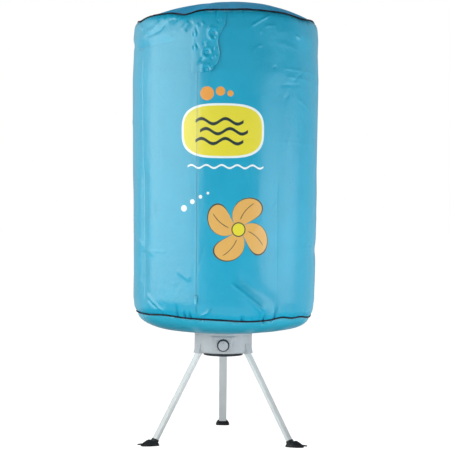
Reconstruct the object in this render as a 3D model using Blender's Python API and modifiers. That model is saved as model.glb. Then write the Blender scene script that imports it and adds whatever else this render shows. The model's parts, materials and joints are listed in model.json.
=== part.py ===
"""Portable clothes dryer: a round fan heater on three folding legs, a pole with two hanging racks and a cloth cover.

Metres, +Z up. The origin is on the floor, on the axis of the heater, and the timer knob faces -Y.
An azimuth is counted in degrees from the front, -Y, and grows towards +X.
"""

import math

import bmesh
import bpy
from mathutils import Vector

# Clearances that several pieces share
FIT_GAP = 0.0003
CLOTH_GAP = 0.0008
CUT_OVERRUN = 0.002
WELD = 0.00001

# Sides of the round pieces
FINE_SIDES = 48
ROUND_SIDES = 20
SMALL_SIDES = 14
COVER_STEPS = 48

# Heater housing: the lower shell carries the legs and the timer, the upper shell carries the outlet grille
HOUSING_RADIUS = 0.100
HOUSING_WALL = 0.0026
HOUSING_BOTTOM = 0.305
LOWER_SHELL_HEIGHT = 0.0595
UPPER_SHELL_HEIGHT = 0.0425
HOUSING_SPLIT = HOUSING_BOTTOM + LOWER_SHELL_HEIGHT
HOUSING_TOP = HOUSING_SPLIT + UPPER_SHELL_HEIGHT
HOUSING_CHAMFER = 0.005
REBATE_RADIUS = HOUSING_RADIUS - HOUSING_WALL / 2
INTAKE_BORDER = 0.0315
INTAKE_RADIUS = HOUSING_RADIUS - INTAKE_BORDER
INTAKE_THICKNESS = 0.003
INTAKE_DROP = 0.0125
INTAKE_LIP = 0.004
INTAKE_BARS = 28
OUTLET_BORDER = 0.0155
OUTLET_RADIUS = HOUSING_RADIUS - OUTLET_BORDER
OUTLET_THICKNESS = 0.003
OUTLET_LEDGE = 0.005
GRILLE_BARS = 20
GRILLE_SLOT_RATIO = 0.5
GRILLE_RIM = 0.006
GRILLE_HUB_RADIUS = 0.031

# Leg pockets and legs
LEG_AZIMUTHS = (-60.0, 60.0, 180.0)
LEG_NAMES = ("left", "right", "rear")
LEG_PIVOT_INSET = 0.0175
LEG_PIVOT_RISE = 0.0225
LEG_PIVOT_RADIUS = HOUSING_RADIUS - LEG_PIVOT_INSET
LEG_PIVOT_HEIGHT = HOUSING_BOTTOM + LEG_PIVOT_RISE
LEG_SPLAY = math.radians(30.0)
LEG_WIDTH = 0.028
LEG_DEPTH = 0.013
LEG_WALL = 0.0013
LEG_CORNER = 0.0025
LEG_LEAST_CORNER = 0.0001
LEG_CORNER_SIDES = 2
LEG_TUBE_START = 0.013
LEG_TENON = 0.022
LEG_END_ABOVE_FLOOR = 0.0080
POCKET_CHEEK = 0.0035
POCKET_WALL = 0.0028
POCKET_GAP = 0.0006
POCKET_ROOF = 0.004
POCKET_OVERHANG = 0.0025
POCKET_BOTTOM = HOUSING_BOTTOM - POCKET_OVERHANG
PIN_RADIUS = 0.003
PIN_HEAD_RADIUS = 0.0045
PIN_HEAD = 0.0015

# Feet
FOOT_LENGTH = 0.058
FOOT_WIDTH = 0.050
FOOT_OUTSET = 0.017
FOOT_EDGE_SHARE = 0.25
FOOT_SHOULDER_SHARE = 0.7
TAB_LENGTH = 0.0145
TAB_WIDTH = 0.014
TAB_THICKNESS = 0.004
TAB_HEIGHT = 0.0075
TAB_BURIED = 0.014

# Cross-sections of a foot from heel to toe: share of its length, share of its half width, height, share of its
# half width at the top
FOOT_SECTIONS = (
    (0.0, 0.78, 0.0090, 0.55), (0.09, 0.97, 0.0118, 0.66), (0.24, 1.0, 0.0150, 0.62), (0.42, 0.98, 0.0195, 0.42),
    (0.50, 0.95, 0.0200, 0.36), (0.66, 0.82, 0.0165, 0.36), (0.83, 0.60, 0.0118, 0.36), (1.0, 0.30, 0.0078, 0.20),
)

# Timer on the front of the lower housing
KNOB_RISE = 0.0295
KNOB_HEIGHT = HOUSING_BOTTOM + KNOB_RISE
KNOB_RADIUS = 0.0172
KNOB_DEPTH = 0.013
KNOB_RIDGES = 16
KNOB_RIDGE_DEPTH = 0.0016
KNOB_GRIP_WIDTH = 0.006
KNOB_GRIP_RISE = 0.003
BEZEL_RADIUS = 0.0215
BEZEL_DEPTH = 0.0022
PANEL_PROUD = 0.0035
PANEL_BURIED = 0.015
PANEL_FACE = HOUSING_RADIUS + PANEL_PROUD
PANEL_BACK = HOUSING_RADIUS - PANEL_BURIED
PANEL_BORDER = 0.018
PANEL_TOP_HALF = 0.030
PANEL_SIDES = 13
TIMER_WIDTH = 0.030
TIMER_HEIGHT = 0.032
TIMER_DEPTH = 0.026
SPINDLE_RADIUS = 0.003
SPINDLE_SEAT = 0.008

# Fan, motor and heater inside
DUCT_INSET = 0.012
DUCT_RADIUS = INTAKE_RADIUS - DUCT_INSET
DUCT_WALL = 0.0018
DUCT_BELOW_SPLIT = 0.012
DUCT_TOP = HOUSING_SPLIT - DUCT_BELOW_SPLIT
BRIDGE_THICKNESS = 0.002
BRIDGE_ARM_WIDTH = 0.012
MOTOR_RADIUS = 0.022
MOTOR_HEIGHT = 0.019
SHAFT_RADIUS = 0.003
FAN_TIP_GAP = 0.0027
FAN_RADIUS = DUCT_RADIUS - DUCT_WALL - FAN_TIP_GAP
FAN_HUB_RADIUS = 0.014
FAN_HUB_HEIGHT = 0.016
FAN_BLADES = 5
FAN_BLADE_THICKNESS = 0.002
FAN_BLADE_CHORD = 0.020
FAN_BLADE_PITCH = math.radians(32.0)
FAN_ROOT_PITCH = math.radians(45.0)
FAN_ROOT_CHORD = 0.012
FAN_RISE = 0.0195
FAN_HEIGHT = HOUSING_BOTTOM + FAN_RISE
FRAME_THICKNESS = 0.0016
HEATER_LENGTH = 0.096
HEATER_DEPTH = 0.060
HEATER_HEIGHT = 0.020
HEATER_FINS = 16
HEATER_FIN_DEPTH = 0.024
HEATER_SPINE = 0.006
CUTOUT_RADIUS = 0.008
CUTOUT_HEIGHT = 0.009
GLAND_AZIMUTH = 142.0
GLAND_RISE = 0.0255
GLAND_HEIGHT = HOUSING_BOTTOM + GLAND_RISE
GLAND_RADIUS = 0.0055
GLAND_FLANGE_RADIUS = 0.0085
GLAND_FLANGE = 0.002
GLAND_LENGTH = 0.012
GLAND_MOUTH_RADIUS = 0.0036
GLAND_MOUTH_DEPTH = 0.0035

# Pole
POLE_RADIUS = 0.011
POLE_WALL = 0.0013
POLE_SECTIONS = 3
SOCKET_RADIUS = 0.0165
SOCKET_HEIGHT = 0.050
SOCKET_FLOOR = 0.004
SOCKET_FLANGE_RADIUS = 0.027
SOCKET_FLANGE = 0.004
COUPLER_COLLAR_RADIUS = 0.0145
COUPLER_COLLAR = 0.005
COUPLER_SPIGOT = 0.030

# Cloth cover
CLOTH = 0.0012
COVER_RADIUS = 0.3225
TOP_SEAM_SHARE = 0.94884
BOTTOM_SEAM_SHARE = 0.93333
SEAM_ABOVE_HOUSING = 0.032
WALL_HEIGHT = 1.0025
TOP_SEAM_RADIUS = COVER_RADIUS * TOP_SEAM_SHARE
BOTTOM_SEAM_RADIUS = COVER_RADIUS * BOTTOM_SEAM_SHARE
BOTTOM_SEAM_HEIGHT = HOUSING_TOP + SEAM_ABOVE_HOUSING
TOP_SEAM_HEIGHT = BOTTOM_SEAM_HEIGHT + WALL_HEIGHT
DOME_RISE = 0.0665
DOME_LEAN = 0.045
DOME_FULLNESS = 2.2
BELLY_DROP = 0.0565
BELLY_INSET = 0.131
BELLY_RADIUS = BOTTOM_SEAM_RADIUS - BELLY_INSET
CUFF_GAP = 0.0006
CUFF_HEIGHT = 0.014
PIPING_RADIUS = 0.0025
BOTTOM_SEAM_TILT = 0.0045
WALL_SMOOTH_FROM = -21.0
WALL_SMOOTH_TO = 4.0
WALL_SMOOTH_FADE = 10.0
FOLD_FADE_SHARE = 0.083
CLOTH_SMOOTH_BELOW = 60.0
DOME_RING_SHARES = (1.0, 0.92, 0.78, 0.60, 0.38, 0.18)
DOME_PUCKERS = 12
DOME_PUCKER_SHARE = 0.012
BELLY_STEPS = 4

# Hanging racks
RACK_ARMS = 6
UPPER_RACK_DROP = 0.029
UPPER_RACK_HEIGHT = TOP_SEAM_HEIGHT - UPPER_RACK_DROP
HUB_RADIUS = 0.030
HUB_HEIGHT = 0.022
HUB_ROOF = 0.004
HUB_PIVOT_RADIUS = 0.0235
ARM_WIDTH = 0.007
ARM_HEIGHT = 0.010
ARM_TIP_HEIGHT = 0.007
ARM_TIP_GAP = 0.014
ARM_TIP_RADIUS = TOP_SEAM_RADIUS - ARM_TIP_GAP
ARM_TIP_RISE = 0.006
ARM_STOPS = 5
ARM_STOP_RISE = 0.0025
ARM_STOP_LENGTH = 0.005
ARM_PIN_RADIUS = 0.002
ARM_PIN_REACH = 0.0024
POST_RADIUS = 0.008
POST_CAP_RADIUS = 0.036
POST_CAP_EDGE = 0.003

# Zip and door flap
ZIP_AZIMUTH = -16.6
ZIP_SLOT = 0.012
ZIP_TAPE_INSET = 0.0001
SLIDER_WIDTH = 0.009
SLIDER_LENGTH = 0.014
SLIDER_DEPTH = 0.0045
SLIDER_REST_RISE = 0.071
SLIDER_REST_HEIGHT = BOTTOM_SEAM_HEIGHT + SLIDER_REST_RISE
SLIDER_LUG_WIDTH = 0.0024
SLIDER_LUG_RISE = 0.004
SLIDER_LUG_LENGTH = 0.006
PULL_WIDTH = 0.007
PULL_LENGTH = 0.022
PULL_THICKNESS = 0.0014
PULL_FORK = 0.005
FLAP_TOP_GAP = 0.0115
FLAP_HEIGHT = 0.189
FLAP_TOP = TOP_SEAM_HEIGHT - FLAP_TOP_GAP
FLAP_BOTTOM = FLAP_TOP - FLAP_HEIGHT
SLIDER_TOP_GAP = 0.011
SLIDER_TOP_HEIGHT = FLAP_BOTTOM - SLIDER_TOP_GAP
FLAP_LIFT = 0.0009
FLAP_LEFT_AZIMUTH = -19.0
FLAP_COLUMNS = 6

# Azimuth of the flap's free edge, bottom to top, and the share of its height where each lies
FLAP_EDGE_AZIMUTHS = (-8.6, -5.6, -3.4, -2.3, -3.5, -0.6, 0.5, 1.0)
FLAP_EDGE_SHARES = (0.0, 0.10, 0.33, 0.45, 0.65, 0.78, 0.89, 1.0)

# Dips of the seams: azimuth, half width in degrees, drop as a share of COVER_RADIUS, a rise where it is negative
TOP_DIP_SHARES = (
    (-70.0, 8.0, 0.024), (-26.0, 7.0, 0.030), (-10.0, 12.0, -0.010), (14.0, 14.0, -0.018), (34.0, 12.0, -0.010),
    (55.0, 9.0, 0.018), (98.0, 11.0, 0.020), (117.0, 9.0, -0.010), (138.0, 10.0, 0.022), (160.0, 11.0, -0.012),
    (182.0, 10.0, 0.018), (204.0, 10.0, -0.010), (225.0, 9.0, 0.024), (258.0, 11.0, 0.016),
)
BOTTOM_DIP_SHARES = (
    (-40.0, 12.0, -0.016), (15.0, 14.0, 0.014), (40.0, 7.0, -0.022), (58.0, 8.0, -0.012), (75.0, 9.0, 0.010),
    (110.0, 12.0, 0.014), (134.0, 10.0, -0.014), (158.0, 11.0, 0.012), (184.0, 10.0, -0.016), (208.0, 12.0, 0.014),
    (236.0, 10.0, -0.014), (262.0, 10.0, 0.008),
)

# Main folds of the side wall. Each runs from one azimuth and share of the wall's height to another.
# The last two are its half width and its depth as shares of COVER_RADIUS, a ridge where the depth is negative.
FOLD_SHARES = (
    (-58.7, 0.02, -58.7, 0.55, 0.080, 0.016), (32.5, 0.06, 32.5, 0.90, 0.085, 0.012),
    (-86.0, 0.90, -26.0, 0.905, 0.060, 0.016), (-84.0, 0.955, -40.0, 0.80, 0.070, -0.008),
    (-95.0, 0.05, -95.0, 0.48, 0.200, 0.011), (95.0, 0.04, 95.0, 0.50, 0.220, -0.010),
    (2.0, 0.13, 27.0, 0.02, 0.065, -0.016), (48.0, 0.94, 74.0, 0.70, 0.075, 0.013),
    (70.0, 0.20, 96.0, 0.23, 0.070, 0.011), (112.0, 0.05, 112.0, 0.90, 0.080, 0.015),
    (122.0, 0.93, 160.0, 0.78, 0.080, 0.015), (150.0, 0.06, 150.0, 0.70, 0.085, 0.016),
    (172.0, 0.30, 214.0, 0.12, 0.080, 0.014), (196.0, 0.45, 196.0, 0.95, 0.085, 0.015),
    (222.0, 0.90, 258.0, 0.84, 0.075, 0.015), (238.0, 0.05, 238.0, 0.75, 0.080, 0.014),
)

# Rows of the side wall from seam to seam: share of its height, share of COVER_RADIUS. Between the third row and
# the seventh they lie on one straight line, which the zip's slider runs along.
WALL_ROW_SHARES = (
    (0.0, 0.9352), (0.012, 0.9590), (0.045, 0.9715), (0.200, 0.9774), (0.420, 0.9857), (0.620, 0.9932),
    (0.800, 1.0), (0.893, 0.9895), (0.944, 0.9940), (0.980, 0.9860), (0.993, 0.9760), (1.0, 0.9507),
)


# Collections and finishes


def clear_scene():
    for obj in list(bpy.data.objects):
        bpy.data.objects.remove(obj, do_unlink=True)


def collection(name):
    made = bpy.data.collections.new(name)
    bpy.context.scene.collection.children.link(made)
    return made


def finish(name, colour, roughness, metallic=0.0):
    made = bpy.data.materials.new(name)
    made.use_nodes = True
    made.diffuse_color = (*colour, 1.0)
    shader = made.node_tree.nodes["Principled BSDF"]
    shader.inputs["Base Color"].default_value = (*colour, 1.0)
    shader.inputs["Roughness"].default_value = roughness
    shader.inputs["Metallic"].default_value = metallic
    return made


clear_scene()
DRYER = collection("portable_clothes_dryer")
CUTTERS = collection("cutters")
CUTTERS.hide_render = True

HOUSING_GREY = finish("housing_grey_plastic", (0.48, 0.50, 0.51), 0.42)
DARK_PLASTIC = finish("dark_plastic", (0.03, 0.032, 0.036), 0.45)
KNOB_GREY = finish("knob_grey_plastic", (0.52, 0.55, 0.57), 0.35)
WHITE_PLASTIC = finish("white_plastic", (0.72, 0.72, 0.70), 0.5)
RACK_PLASTIC = finish("rack_plastic", (0.60, 0.62, 0.63), 0.5)
ALUMINIUM = finish("aluminium", (0.66, 0.69, 0.70), 0.35, 1.0)
STEEL = finish("steel", (0.55, 0.55, 0.56), 0.35, 1.0)
MOTOR_METAL = finish("motor_metal", (0.35, 0.35, 0.36), 0.45, 1.0)
HEATER_METAL = finish("heater_fins", (0.58, 0.56, 0.52), 0.4, 1.0)
FOOT_BLACK = finish("foot_black_plastic", (0.018, 0.020, 0.024), 0.5)
COVER_BLUE = finish("cover_cloth", (0.05, 0.42, 0.58), 0.6)
PIPING_BLACK = finish("piping", (0.012, 0.016, 0.022), 0.6)
ZIP_BLUE = finish("zip_tape", (0.03, 0.28, 0.42), 0.6)


# Frames that pieces hang on, and the objects themselves


def empty(name, place=(0, 0, 0), turn=(0, 0, 0), parent=None):
    """A frame: its own axes carry the pieces of a joint."""
    made = bpy.data.objects.new(name, None)
    DRYER.objects.link(made)
    made.location = place
    made.rotation_euler = turn
    made.parent = parent
    return made


def outward_turn(azimuth):
    """The turn about Z that points local +X outward at an azimuth."""
    return (0, 0, math.radians(azimuth) - math.pi / 2)


def direction(azimuth):
    angle = math.radians(azimuth)
    return Vector((math.sin(angle), -math.cos(angle), 0))


def part(name, mesh, look, parent=None, place=(0, 0, 0), turn=(0, 0, 0)):
    made = bpy.data.objects.new(name, mesh)
    DRYER.objects.link(made)
    mesh.materials.append(look)
    made.location = place
    made.rotation_euler = turn
    made.parent = parent
    return made


def cutter(name, mesh, parent=None, place=(0, 0, 0), turn=(0, 0, 0)):
    made = bpy.data.objects.new(name, mesh)
    CUTTERS.objects.link(made)
    made.location = place
    made.rotation_euler = turn
    made.parent = parent
    made.hide_render = True
    made.display_type = "WIRE"
    return made


def boolean(target, tool, operation):
    step = target.modifiers.new(operation.lower() + "_" + tool.name, "BOOLEAN")
    step.operation = operation
    step.object = tool


def cut(target, tool):
    boolean(target, tool, "DIFFERENCE")


def join(target, tool):
    boolean(target, tool, "UNION")


def bevel(target, width, segments=2):
    step = target.modifiers.new("bevel", "BEVEL")
    step.width = width
    step.segments = segments
    step.limit_method = "ANGLE"


# Meshes


def mesh_of(name, shape, smooth_below=30.0):
    mesh = bpy.data.meshes.new(name)
    shape.to_mesh(mesh)
    shape.free()
    mesh.shade_smooth()
    mesh.set_sharp_from_angle(angle=math.radians(smooth_below))
    return mesh


def box(name, low, high):
    shape = bmesh.new()
    bmesh.ops.create_cube(shape, size=1)
    low, high = Vector(low), Vector(high)
    middle = (low + high) / 2
    for vertex in shape.verts:
        vertex.co = middle + Vector(a * b for a, b in zip(vertex.co, high - low))
    return mesh_of(name, shape)


def rod(name, radius, start, end, sides=SMALL_SIDES, axis="Z"):
    """A round bar along one axis, from start to end on it."""
    shape = bmesh.new()
    bmesh.ops.create_cone(
        shape, cap_ends=True, segments=sides, radius1=radius, radius2=radius, depth=end - start
    )
    for vertex in shape.verts:
        x, y, z = vertex.co
        z += (start + end) / 2
        vertex.co = {"Z": (x, y, z), "X": (z, x, y), "Y": (y, z, x)}[axis]
    return mesh_of(name, shape)


def turned(name, outline, closed=True):
    """The mesh of an outline of (radius, height) points, which runs down its outer side, for a Screw modifier."""
    mesh = bpy.data.meshes.new(name)
    last = len(outline) - 1
    edges = [(i, i + 1) for i in range(last)]
    if closed:
        edges.append((last, 0))
    mesh.from_pydata([(radius, 0, height) for radius, height in outline], edges, [])
    return mesh


def screwed(obj, sides=FINE_SIDES):
    step = obj.modifiers.new("turned", "SCREW")
    step.angle = 2 * math.pi
    step.steps = sides
    step.render_steps = sides
    step.use_merge_vertices = True
    step.merge_threshold = WELD
    step.use_smooth_shade = True
    return obj


def flat_outline(name, loops, thickness):
    """A flat sheet in its own XY plane, centred on Z = 0. The loops inside the first one are its holes."""
    curve = bpy.data.curves.new(name, "CURVE")
    curve.dimensions = "2D"
    curve.fill_mode = "BOTH"
    curve.extrude = thickness / 2
    for loop in loops:
        spline = curve.splines.new("POLY")
        spline.points.add(len(loop) - 1)
        for point, (x, y) in zip(spline.points, loop):
            point.co = (x, y, 0, 1)
        spline.use_cyclic_u = True
    source = bpy.data.objects.new(name + "_outline", curve)
    DRYER.objects.link(source)
    bpy.context.view_layer.update()
    graph = bpy.context.evaluated_depsgraph_get()
    mesh = bpy.data.meshes.new_from_object(source.evaluated_get(graph))
    bpy.data.objects.remove(source)
    shape = bmesh.new()
    shape.from_mesh(mesh)
    bmesh.ops.remove_doubles(shape, verts=shape.verts, dist=WELD)
    bmesh.ops.recalc_face_normals(shape, faces=shape.faces)
    bpy.data.meshes.remove(mesh)
    return mesh_of(name, shape)


def circle(radius, sides, centre=(0, 0), start=0.0, sweep=2 * math.pi):
    """Points on a circle, or on an arc of it with both its ends."""
    count = sides if sweep >= 2 * math.pi else sides + 1
    return [
        (
            centre[0] + radius * math.cos(start + sweep * i / sides),
            centre[1] + radius * math.sin(start + sweep * i / sides),
        )
        for i in range(count)
    ]


# Turns that point a piece's own +Z to -Y, and to +Y
STANDING = (math.pi / 2, 0, 0)
SIDEWAYS = (-math.pi / 2, 0, 0)


# Heater housing


def lower_housing():
    inner = HOUSING_RADIUS - HOUSING_WALL
    opening = INTAKE_RADIUS + FIT_GAP
    outline = [
        (HOUSING_RADIUS, HOUSING_SPLIT),
        (HOUSING_RADIUS, HOUSING_BOTTOM + HOUSING_CHAMFER),
        (HOUSING_RADIUS - HOUSING_CHAMFER / 2, HOUSING_BOTTOM),
        (opening, HOUSING_BOTTOM),
        (opening, HOUSING_BOTTOM + HOUSING_WALL),
        (inner - HOUSING_CHAMFER / 2, HOUSING_BOTTOM + HOUSING_WALL),
        (inner, HOUSING_BOTTOM + HOUSING_WALL + HOUSING_CHAMFER),
        (inner, HOUSING_SPLIT - FRAME_THICKNESS - FIT_GAP),
        (REBATE_RADIUS, HOUSING_SPLIT - FRAME_THICKNESS - FIT_GAP),
        (REBATE_RADIUS, HOUSING_SPLIT),
    ]
    shell = screwed(part("lower_housing", turned("lower_housing", outline), HOUSING_GREY))
    join(shell, front_panel())
    floor = HOUSING_BOTTOM + HOUSING_WALL + HOUSING_CHAMFER
    space = rod("housing_space", inner - FIT_GAP, floor, HOUSING_SPLIT + CUT_OVERRUN, FINE_SIDES)
    cut(shell, cutter("housing_space", space))
    half = TIMER_WIDTH / 2 + POCKET_GAP
    seat = box(
        "timer_seat",
        (-half, -inner - FIT_GAP, KNOB_HEIGHT - TIMER_HEIGHT / 2 - POCKET_GAP),
        (half, -PANEL_BACK, KNOB_HEIGHT + TIMER_HEIGHT / 2 + POCKET_GAP),
    )
    cut(shell, cutter("timer_seat", seat))
    reach = PANEL_FACE + CUT_OVERRUN
    spindle_hole = rod("spindle_hole", SPINDLE_RADIUS + FIT_GAP, -reach, CUT_OVERRUN - PANEL_BACK, axis="Y")
    cut(shell, cutter("spindle_hole", spindle_hole, place=(0, 0, KNOB_HEIGHT)))
    gland_hole = rod("gland_hole", GLAND_RADIUS + FIT_GAP, PANEL_BACK, reach, axis="X")
    cut(shell, cutter("gland_hole", gland_hole, place=(0, 0, GLAND_HEIGHT), turn=outward_turn(GLAND_AZIMUTH)))
    for name, azimuth in zip(LEG_NAMES, LEG_AZIMUTHS):
        add_pocket(shell, name, azimuth)


def panel_outline(border):
    """The front panel round the knob: a half round below, with sides that flare to the top of the shell."""
    half = PANEL_TOP_HALF + border
    top = HOUSING_SPLIT - FRAME_THICKNESS - 2 * FIT_GAP - KNOB_HEIGHT
    return circle(BEZEL_RADIUS + border, PANEL_SIDES, start=math.pi, sweep=math.pi) + [(half, top), (-half, top)]


def front_panel():
    """A block that the shell takes in: the panel's flat face, and sides that slope out to the shell."""
    shape = bmesh.new()
    face = [shape.verts.new((x, -PANEL_FACE, KNOB_HEIGHT + z)) for x, z in panel_outline(0.0)]
    back = []
    low = HOUSING_BOTTOM + HOUSING_WALL + HOUSING_CHAMFER + CUT_OVERRUN
    for x, z in panel_outline(PANEL_BORDER):
        back.append(shape.verts.new((x, -PANEL_BACK, max(KNOB_HEIGHT + z, low))))
    shape.faces.new(face)
    shape.faces.new(reversed(back))
    for i in range(len(face)):
        after = (i + 1) % len(face)
        shape.faces.new((face[after], face[i], back[i], back[after]))
    bmesh.ops.recalc_face_normals(shape, faces=shape.faces)
    return cutter("front_panel", mesh_of("front_panel", shape))


def pocket_outline(gap, bottom):
    """The room of one leg, in (outward, up) from its pivot: from hanging straight to its full splay."""
    half = LEG_DEPTH / 2 + gap
    drop = bottom - LEG_PIVOT_HEIGHT
    slope = Vector((math.sin(LEG_SPLAY), -math.cos(LEG_SPLAY)))
    side = Vector((math.cos(LEG_SPLAY), math.sin(LEG_SPLAY))) * half
    outer_end = side + slope * ((side.y - drop) / math.cos(LEG_SPLAY))
    arc = circle(half, SMALL_SIDES // 2, start=math.pi, sweep=LEG_SPLAY - math.pi)
    return arc + [tuple(outer_end), (-half, drop)]


def add_pocket(shell, name, azimuth):
    """The flared block that holds a leg's pin, joined to the shell, with the room for the leg cut out of it."""
    inner_half = LEG_WIDTH / 2 + POCKET_GAP
    outer_half = inner_half + POCKET_CHEEK
    pivot = direction(azimuth) * LEG_PIVOT_RADIUS + Vector((0, 0, LEG_PIVOT_HEIGHT))
    turn = (math.pi / 2, 0, outward_turn(azimuth)[2])
    foot_out = pocket_outline(POCKET_GAP + POCKET_WALL, POCKET_BOTTOM)[-2][0]
    half = LEG_DEPTH / 2 + POCKET_GAP
    top = half + POCKET_ROOF
    shoulder = HOUSING_RADIUS - LEG_PIVOT_RADIUS - HOUSING_WALL / 2
    drop = POCKET_BOTTOM - LEG_PIVOT_HEIGHT
    block = [(-half - POCKET_WALL, top), (-half - POCKET_WALL, drop), (foot_out, drop), (shoulder, top)]
    body = cutter("pocket_block_" + name, flat_outline("pocket_block", [block], 2 * outer_half), None, pivot, turn)
    join(shell, body)
    room = [pocket_outline(POCKET_GAP, POCKET_BOTTOM - CUT_OVERRUN)]
    space = cutter("pocket_" + name, flat_outline("pocket", room, 2 * inner_half), None, pivot, turn)
    cut(shell, space)
    hole = rod("pin_hole", PIN_RADIUS + FIT_GAP, -outer_half - CUT_OVERRUN, outer_half + CUT_OVERRUN, axis="Z")
    cut(shell, cutter("pin_hole_" + name, hole, None, pivot, turn))


def upper_housing():
    inner = HOUSING_RADIUS - HOUSING_WALL
    start = HOUSING_SPLIT + FIT_GAP
    ledge_top = HOUSING_TOP - OUTLET_THICKNESS - FIT_GAP
    seat = OUTLET_RADIUS + FIT_GAP
    outline = [
        (HOUSING_RADIUS - HOUSING_WALL / 2, HOUSING_TOP),
        (HOUSING_RADIUS, HOUSING_TOP - HOUSING_WALL / 2),
        (HOUSING_RADIUS, start),
        (inner, start),
        (inner, ledge_top - HOUSING_CHAMFER),
        (OUTLET_RADIUS - OUTLET_LEDGE, ledge_top - HOUSING_WALL),
        (OUTLET_RADIUS - OUTLET_LEDGE, ledge_top),
        (seat, ledge_top),
        (seat, HOUSING_TOP),
    ]
    screwed(part("upper_housing", turned("upper_housing", outline), HOUSING_GREY))


def grille_slots(inner, outer, count):
    """Radial slots between two radii, each a four-sided hole."""
    half = math.pi / count * GRILLE_SLOT_RATIO
    loops = []
    for i in range(count):
        middle = 2 * math.pi * i / count
        corners = ((inner, -half), (outer, -half), (outer, half), (inner, half))
        loops.append([(r * math.cos(middle + a), r * math.sin(middle + a)) for r, a in corners])
    return loops


def outlet_grille():
    loops = [circle(OUTLET_RADIUS, FINE_SIDES)]
    loops += grille_slots(GRILLE_HUB_RADIUS, OUTLET_RADIUS - GRILLE_RIM - OUTLET_LEDGE, GRILLE_BARS)
    mesh = flat_outline("outlet_grille", loops, OUTLET_THICKNESS)
    part("outlet_grille", mesh, DARK_PLASTIC, place=(0, 0, HOUSING_TOP - OUTLET_THICKNESS / 2))


def intake_grille():
    """A slotted disc that hangs below the shell, with a rim that reaches up into the shell's opening."""
    loops = [circle(INTAKE_RADIUS, FINE_SIDES)]
    loops += grille_slots(FAN_HUB_RADIUS, DUCT_RADIUS - GRILLE_RIM, INTAKE_BARS)
    mesh = flat_outline("intake_grille", loops, INTAKE_THICKNESS)
    low = HOUSING_BOTTOM - INTAKE_DROP
    plate = part("intake_grille", mesh, DARK_PLASTIC, place=(0, 0, low + INTAKE_THICKNESS / 2))
    top = HOUSING_BOTTOM + HOUSING_WALL
    inner = INTAKE_RADIUS - INTAKE_LIP
    bottom = low + INTAKE_THICKNESS / 2
    outline = [(INTAKE_RADIUS, top), (INTAKE_RADIUS, bottom), (inner, bottom), (inner, top)]
    rim = cutter("intake_rim", turned("intake_rim", outline))
    screwed(rim)
    rim.location.z = -low - INTAKE_THICKNESS / 2
    rim.parent = plate
    join(plate, rim)


# Timer


def timer():
    back = HOUSING_RADIUS - HOUSING_WALL
    body = box(
        "timer_body",
        (-TIMER_WIDTH / 2, -back, KNOB_HEIGHT - TIMER_HEIGHT / 2),
        (TIMER_WIDTH / 2, -back + TIMER_DEPTH, KNOB_HEIGHT + TIMER_HEIGHT / 2),
    )
    clock = part("timer_body", body, WHITE_PLASTIC)
    seat = rod("spindle_seat", SPINDLE_RADIUS + FIT_GAP, -back - CUT_OVERRUN, SPINDLE_SEAT - back, axis="Y")
    cut(clock, cutter("spindle_seat", seat, place=(0, 0, KNOB_HEIGHT)))

    bore = SPINDLE_RADIUS + FIT_GAP
    front = PANEL_FACE + FIT_GAP + BEZEL_DEPTH
    ring = [(BEZEL_RADIUS, PANEL_FACE + FIT_GAP), (bore, PANEL_FACE + FIT_GAP)]
    ring += [(bore, front), (BEZEL_RADIUS - BEZEL_DEPTH / 2, front), (BEZEL_RADIUS, front - BEZEL_DEPTH / 2)]
    bezel = part("timer_bezel", turned("timer_bezel", ring), DARK_PLASTIC)
    bezel.location.z = KNOB_HEIGHT
    bezel.rotation_euler = STANDING
    screwed(bezel, ROUND_SIDES)

    axis = empty("timer_knob_axis", (0, -front, KNOB_HEIGHT), STANDING)
    spindle_start = SPINDLE_SEAT - FIT_GAP - back + front
    knob_back = FIT_GAP
    knob_front = knob_back + KNOB_DEPTH
    seat_depth = knob_back + KNOB_DEPTH / 2
    spindle = rod("timer_spindle", SPINDLE_RADIUS, -spindle_start, seat_depth - FIT_GAP)
    part("timer_spindle", spindle, STEEL, axis)
    waist = KNOB_RADIUS - KNOB_RIDGE_DEPTH
    outline = []
    for i in range(2 * KNOB_RIDGES):
        angle = math.pi * i / KNOB_RIDGES
        radius = KNOB_RADIUS if i % 2 else waist
        outline.append((radius * math.cos(angle), radius * math.sin(angle)))
    mesh = flat_outline("timer_knob", [outline], KNOB_DEPTH)
    for vertex in mesh.vertices:
        vertex.co.z += (knob_back + knob_front) / 2
    knob = part("timer_knob", mesh, KNOB_GREY, axis)
    reach = KNOB_RADIUS - KNOB_GRIP_WIDTH / 2
    grip = box(
        "knob_grip",
        (-KNOB_GRIP_WIDTH / 2, -reach, knob_front - CUT_OVERRUN),
        (KNOB_GRIP_WIDTH / 2, reach, knob_front + KNOB_GRIP_RISE),
    )
    join(knob, cutter("knob_grip", grip, axis))
    hole = rod("knob_bore", SPINDLE_RADIUS + FIT_GAP, -CUT_OVERRUN, seat_depth)
    cut(knob, cutter("knob_bore", hole, axis))


# Fan, motor and heater


def fan_duct():
    bottom = HOUSING_BOTTOM - INTAKE_DROP + INTAKE_THICKNESS + FIT_GAP
    inner = DUCT_RADIUS - DUCT_WALL
    outline = [(DUCT_RADIUS, DUCT_TOP), (DUCT_RADIUS, bottom), (inner, bottom), (inner, DUCT_TOP)]
    screwed(part("fan_duct", turned("fan_duct", outline), DARK_PLASTIC))


def motor_bridge():
    """Three spokes that lie on the duct's rim, with a round plate that the motor hangs from."""
    height = DUCT_TOP + FIT_GAP
    top = height + BRIDGE_THICKNESS
    bridge = part("motor_bridge", rod("motor_bridge", MOTOR_RADIUS, height, top, ROUND_SIDES), STEEL)
    for i in range(3):
        spoke = box("spoke", (0, -BRIDGE_ARM_WIDTH / 2, height), (DUCT_RADIUS, BRIDGE_ARM_WIDTH / 2, top))
        join(bridge, cutter("spoke_" + str(i), spoke, turn=(0, 0, 2 * math.pi * i / 3)))


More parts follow.
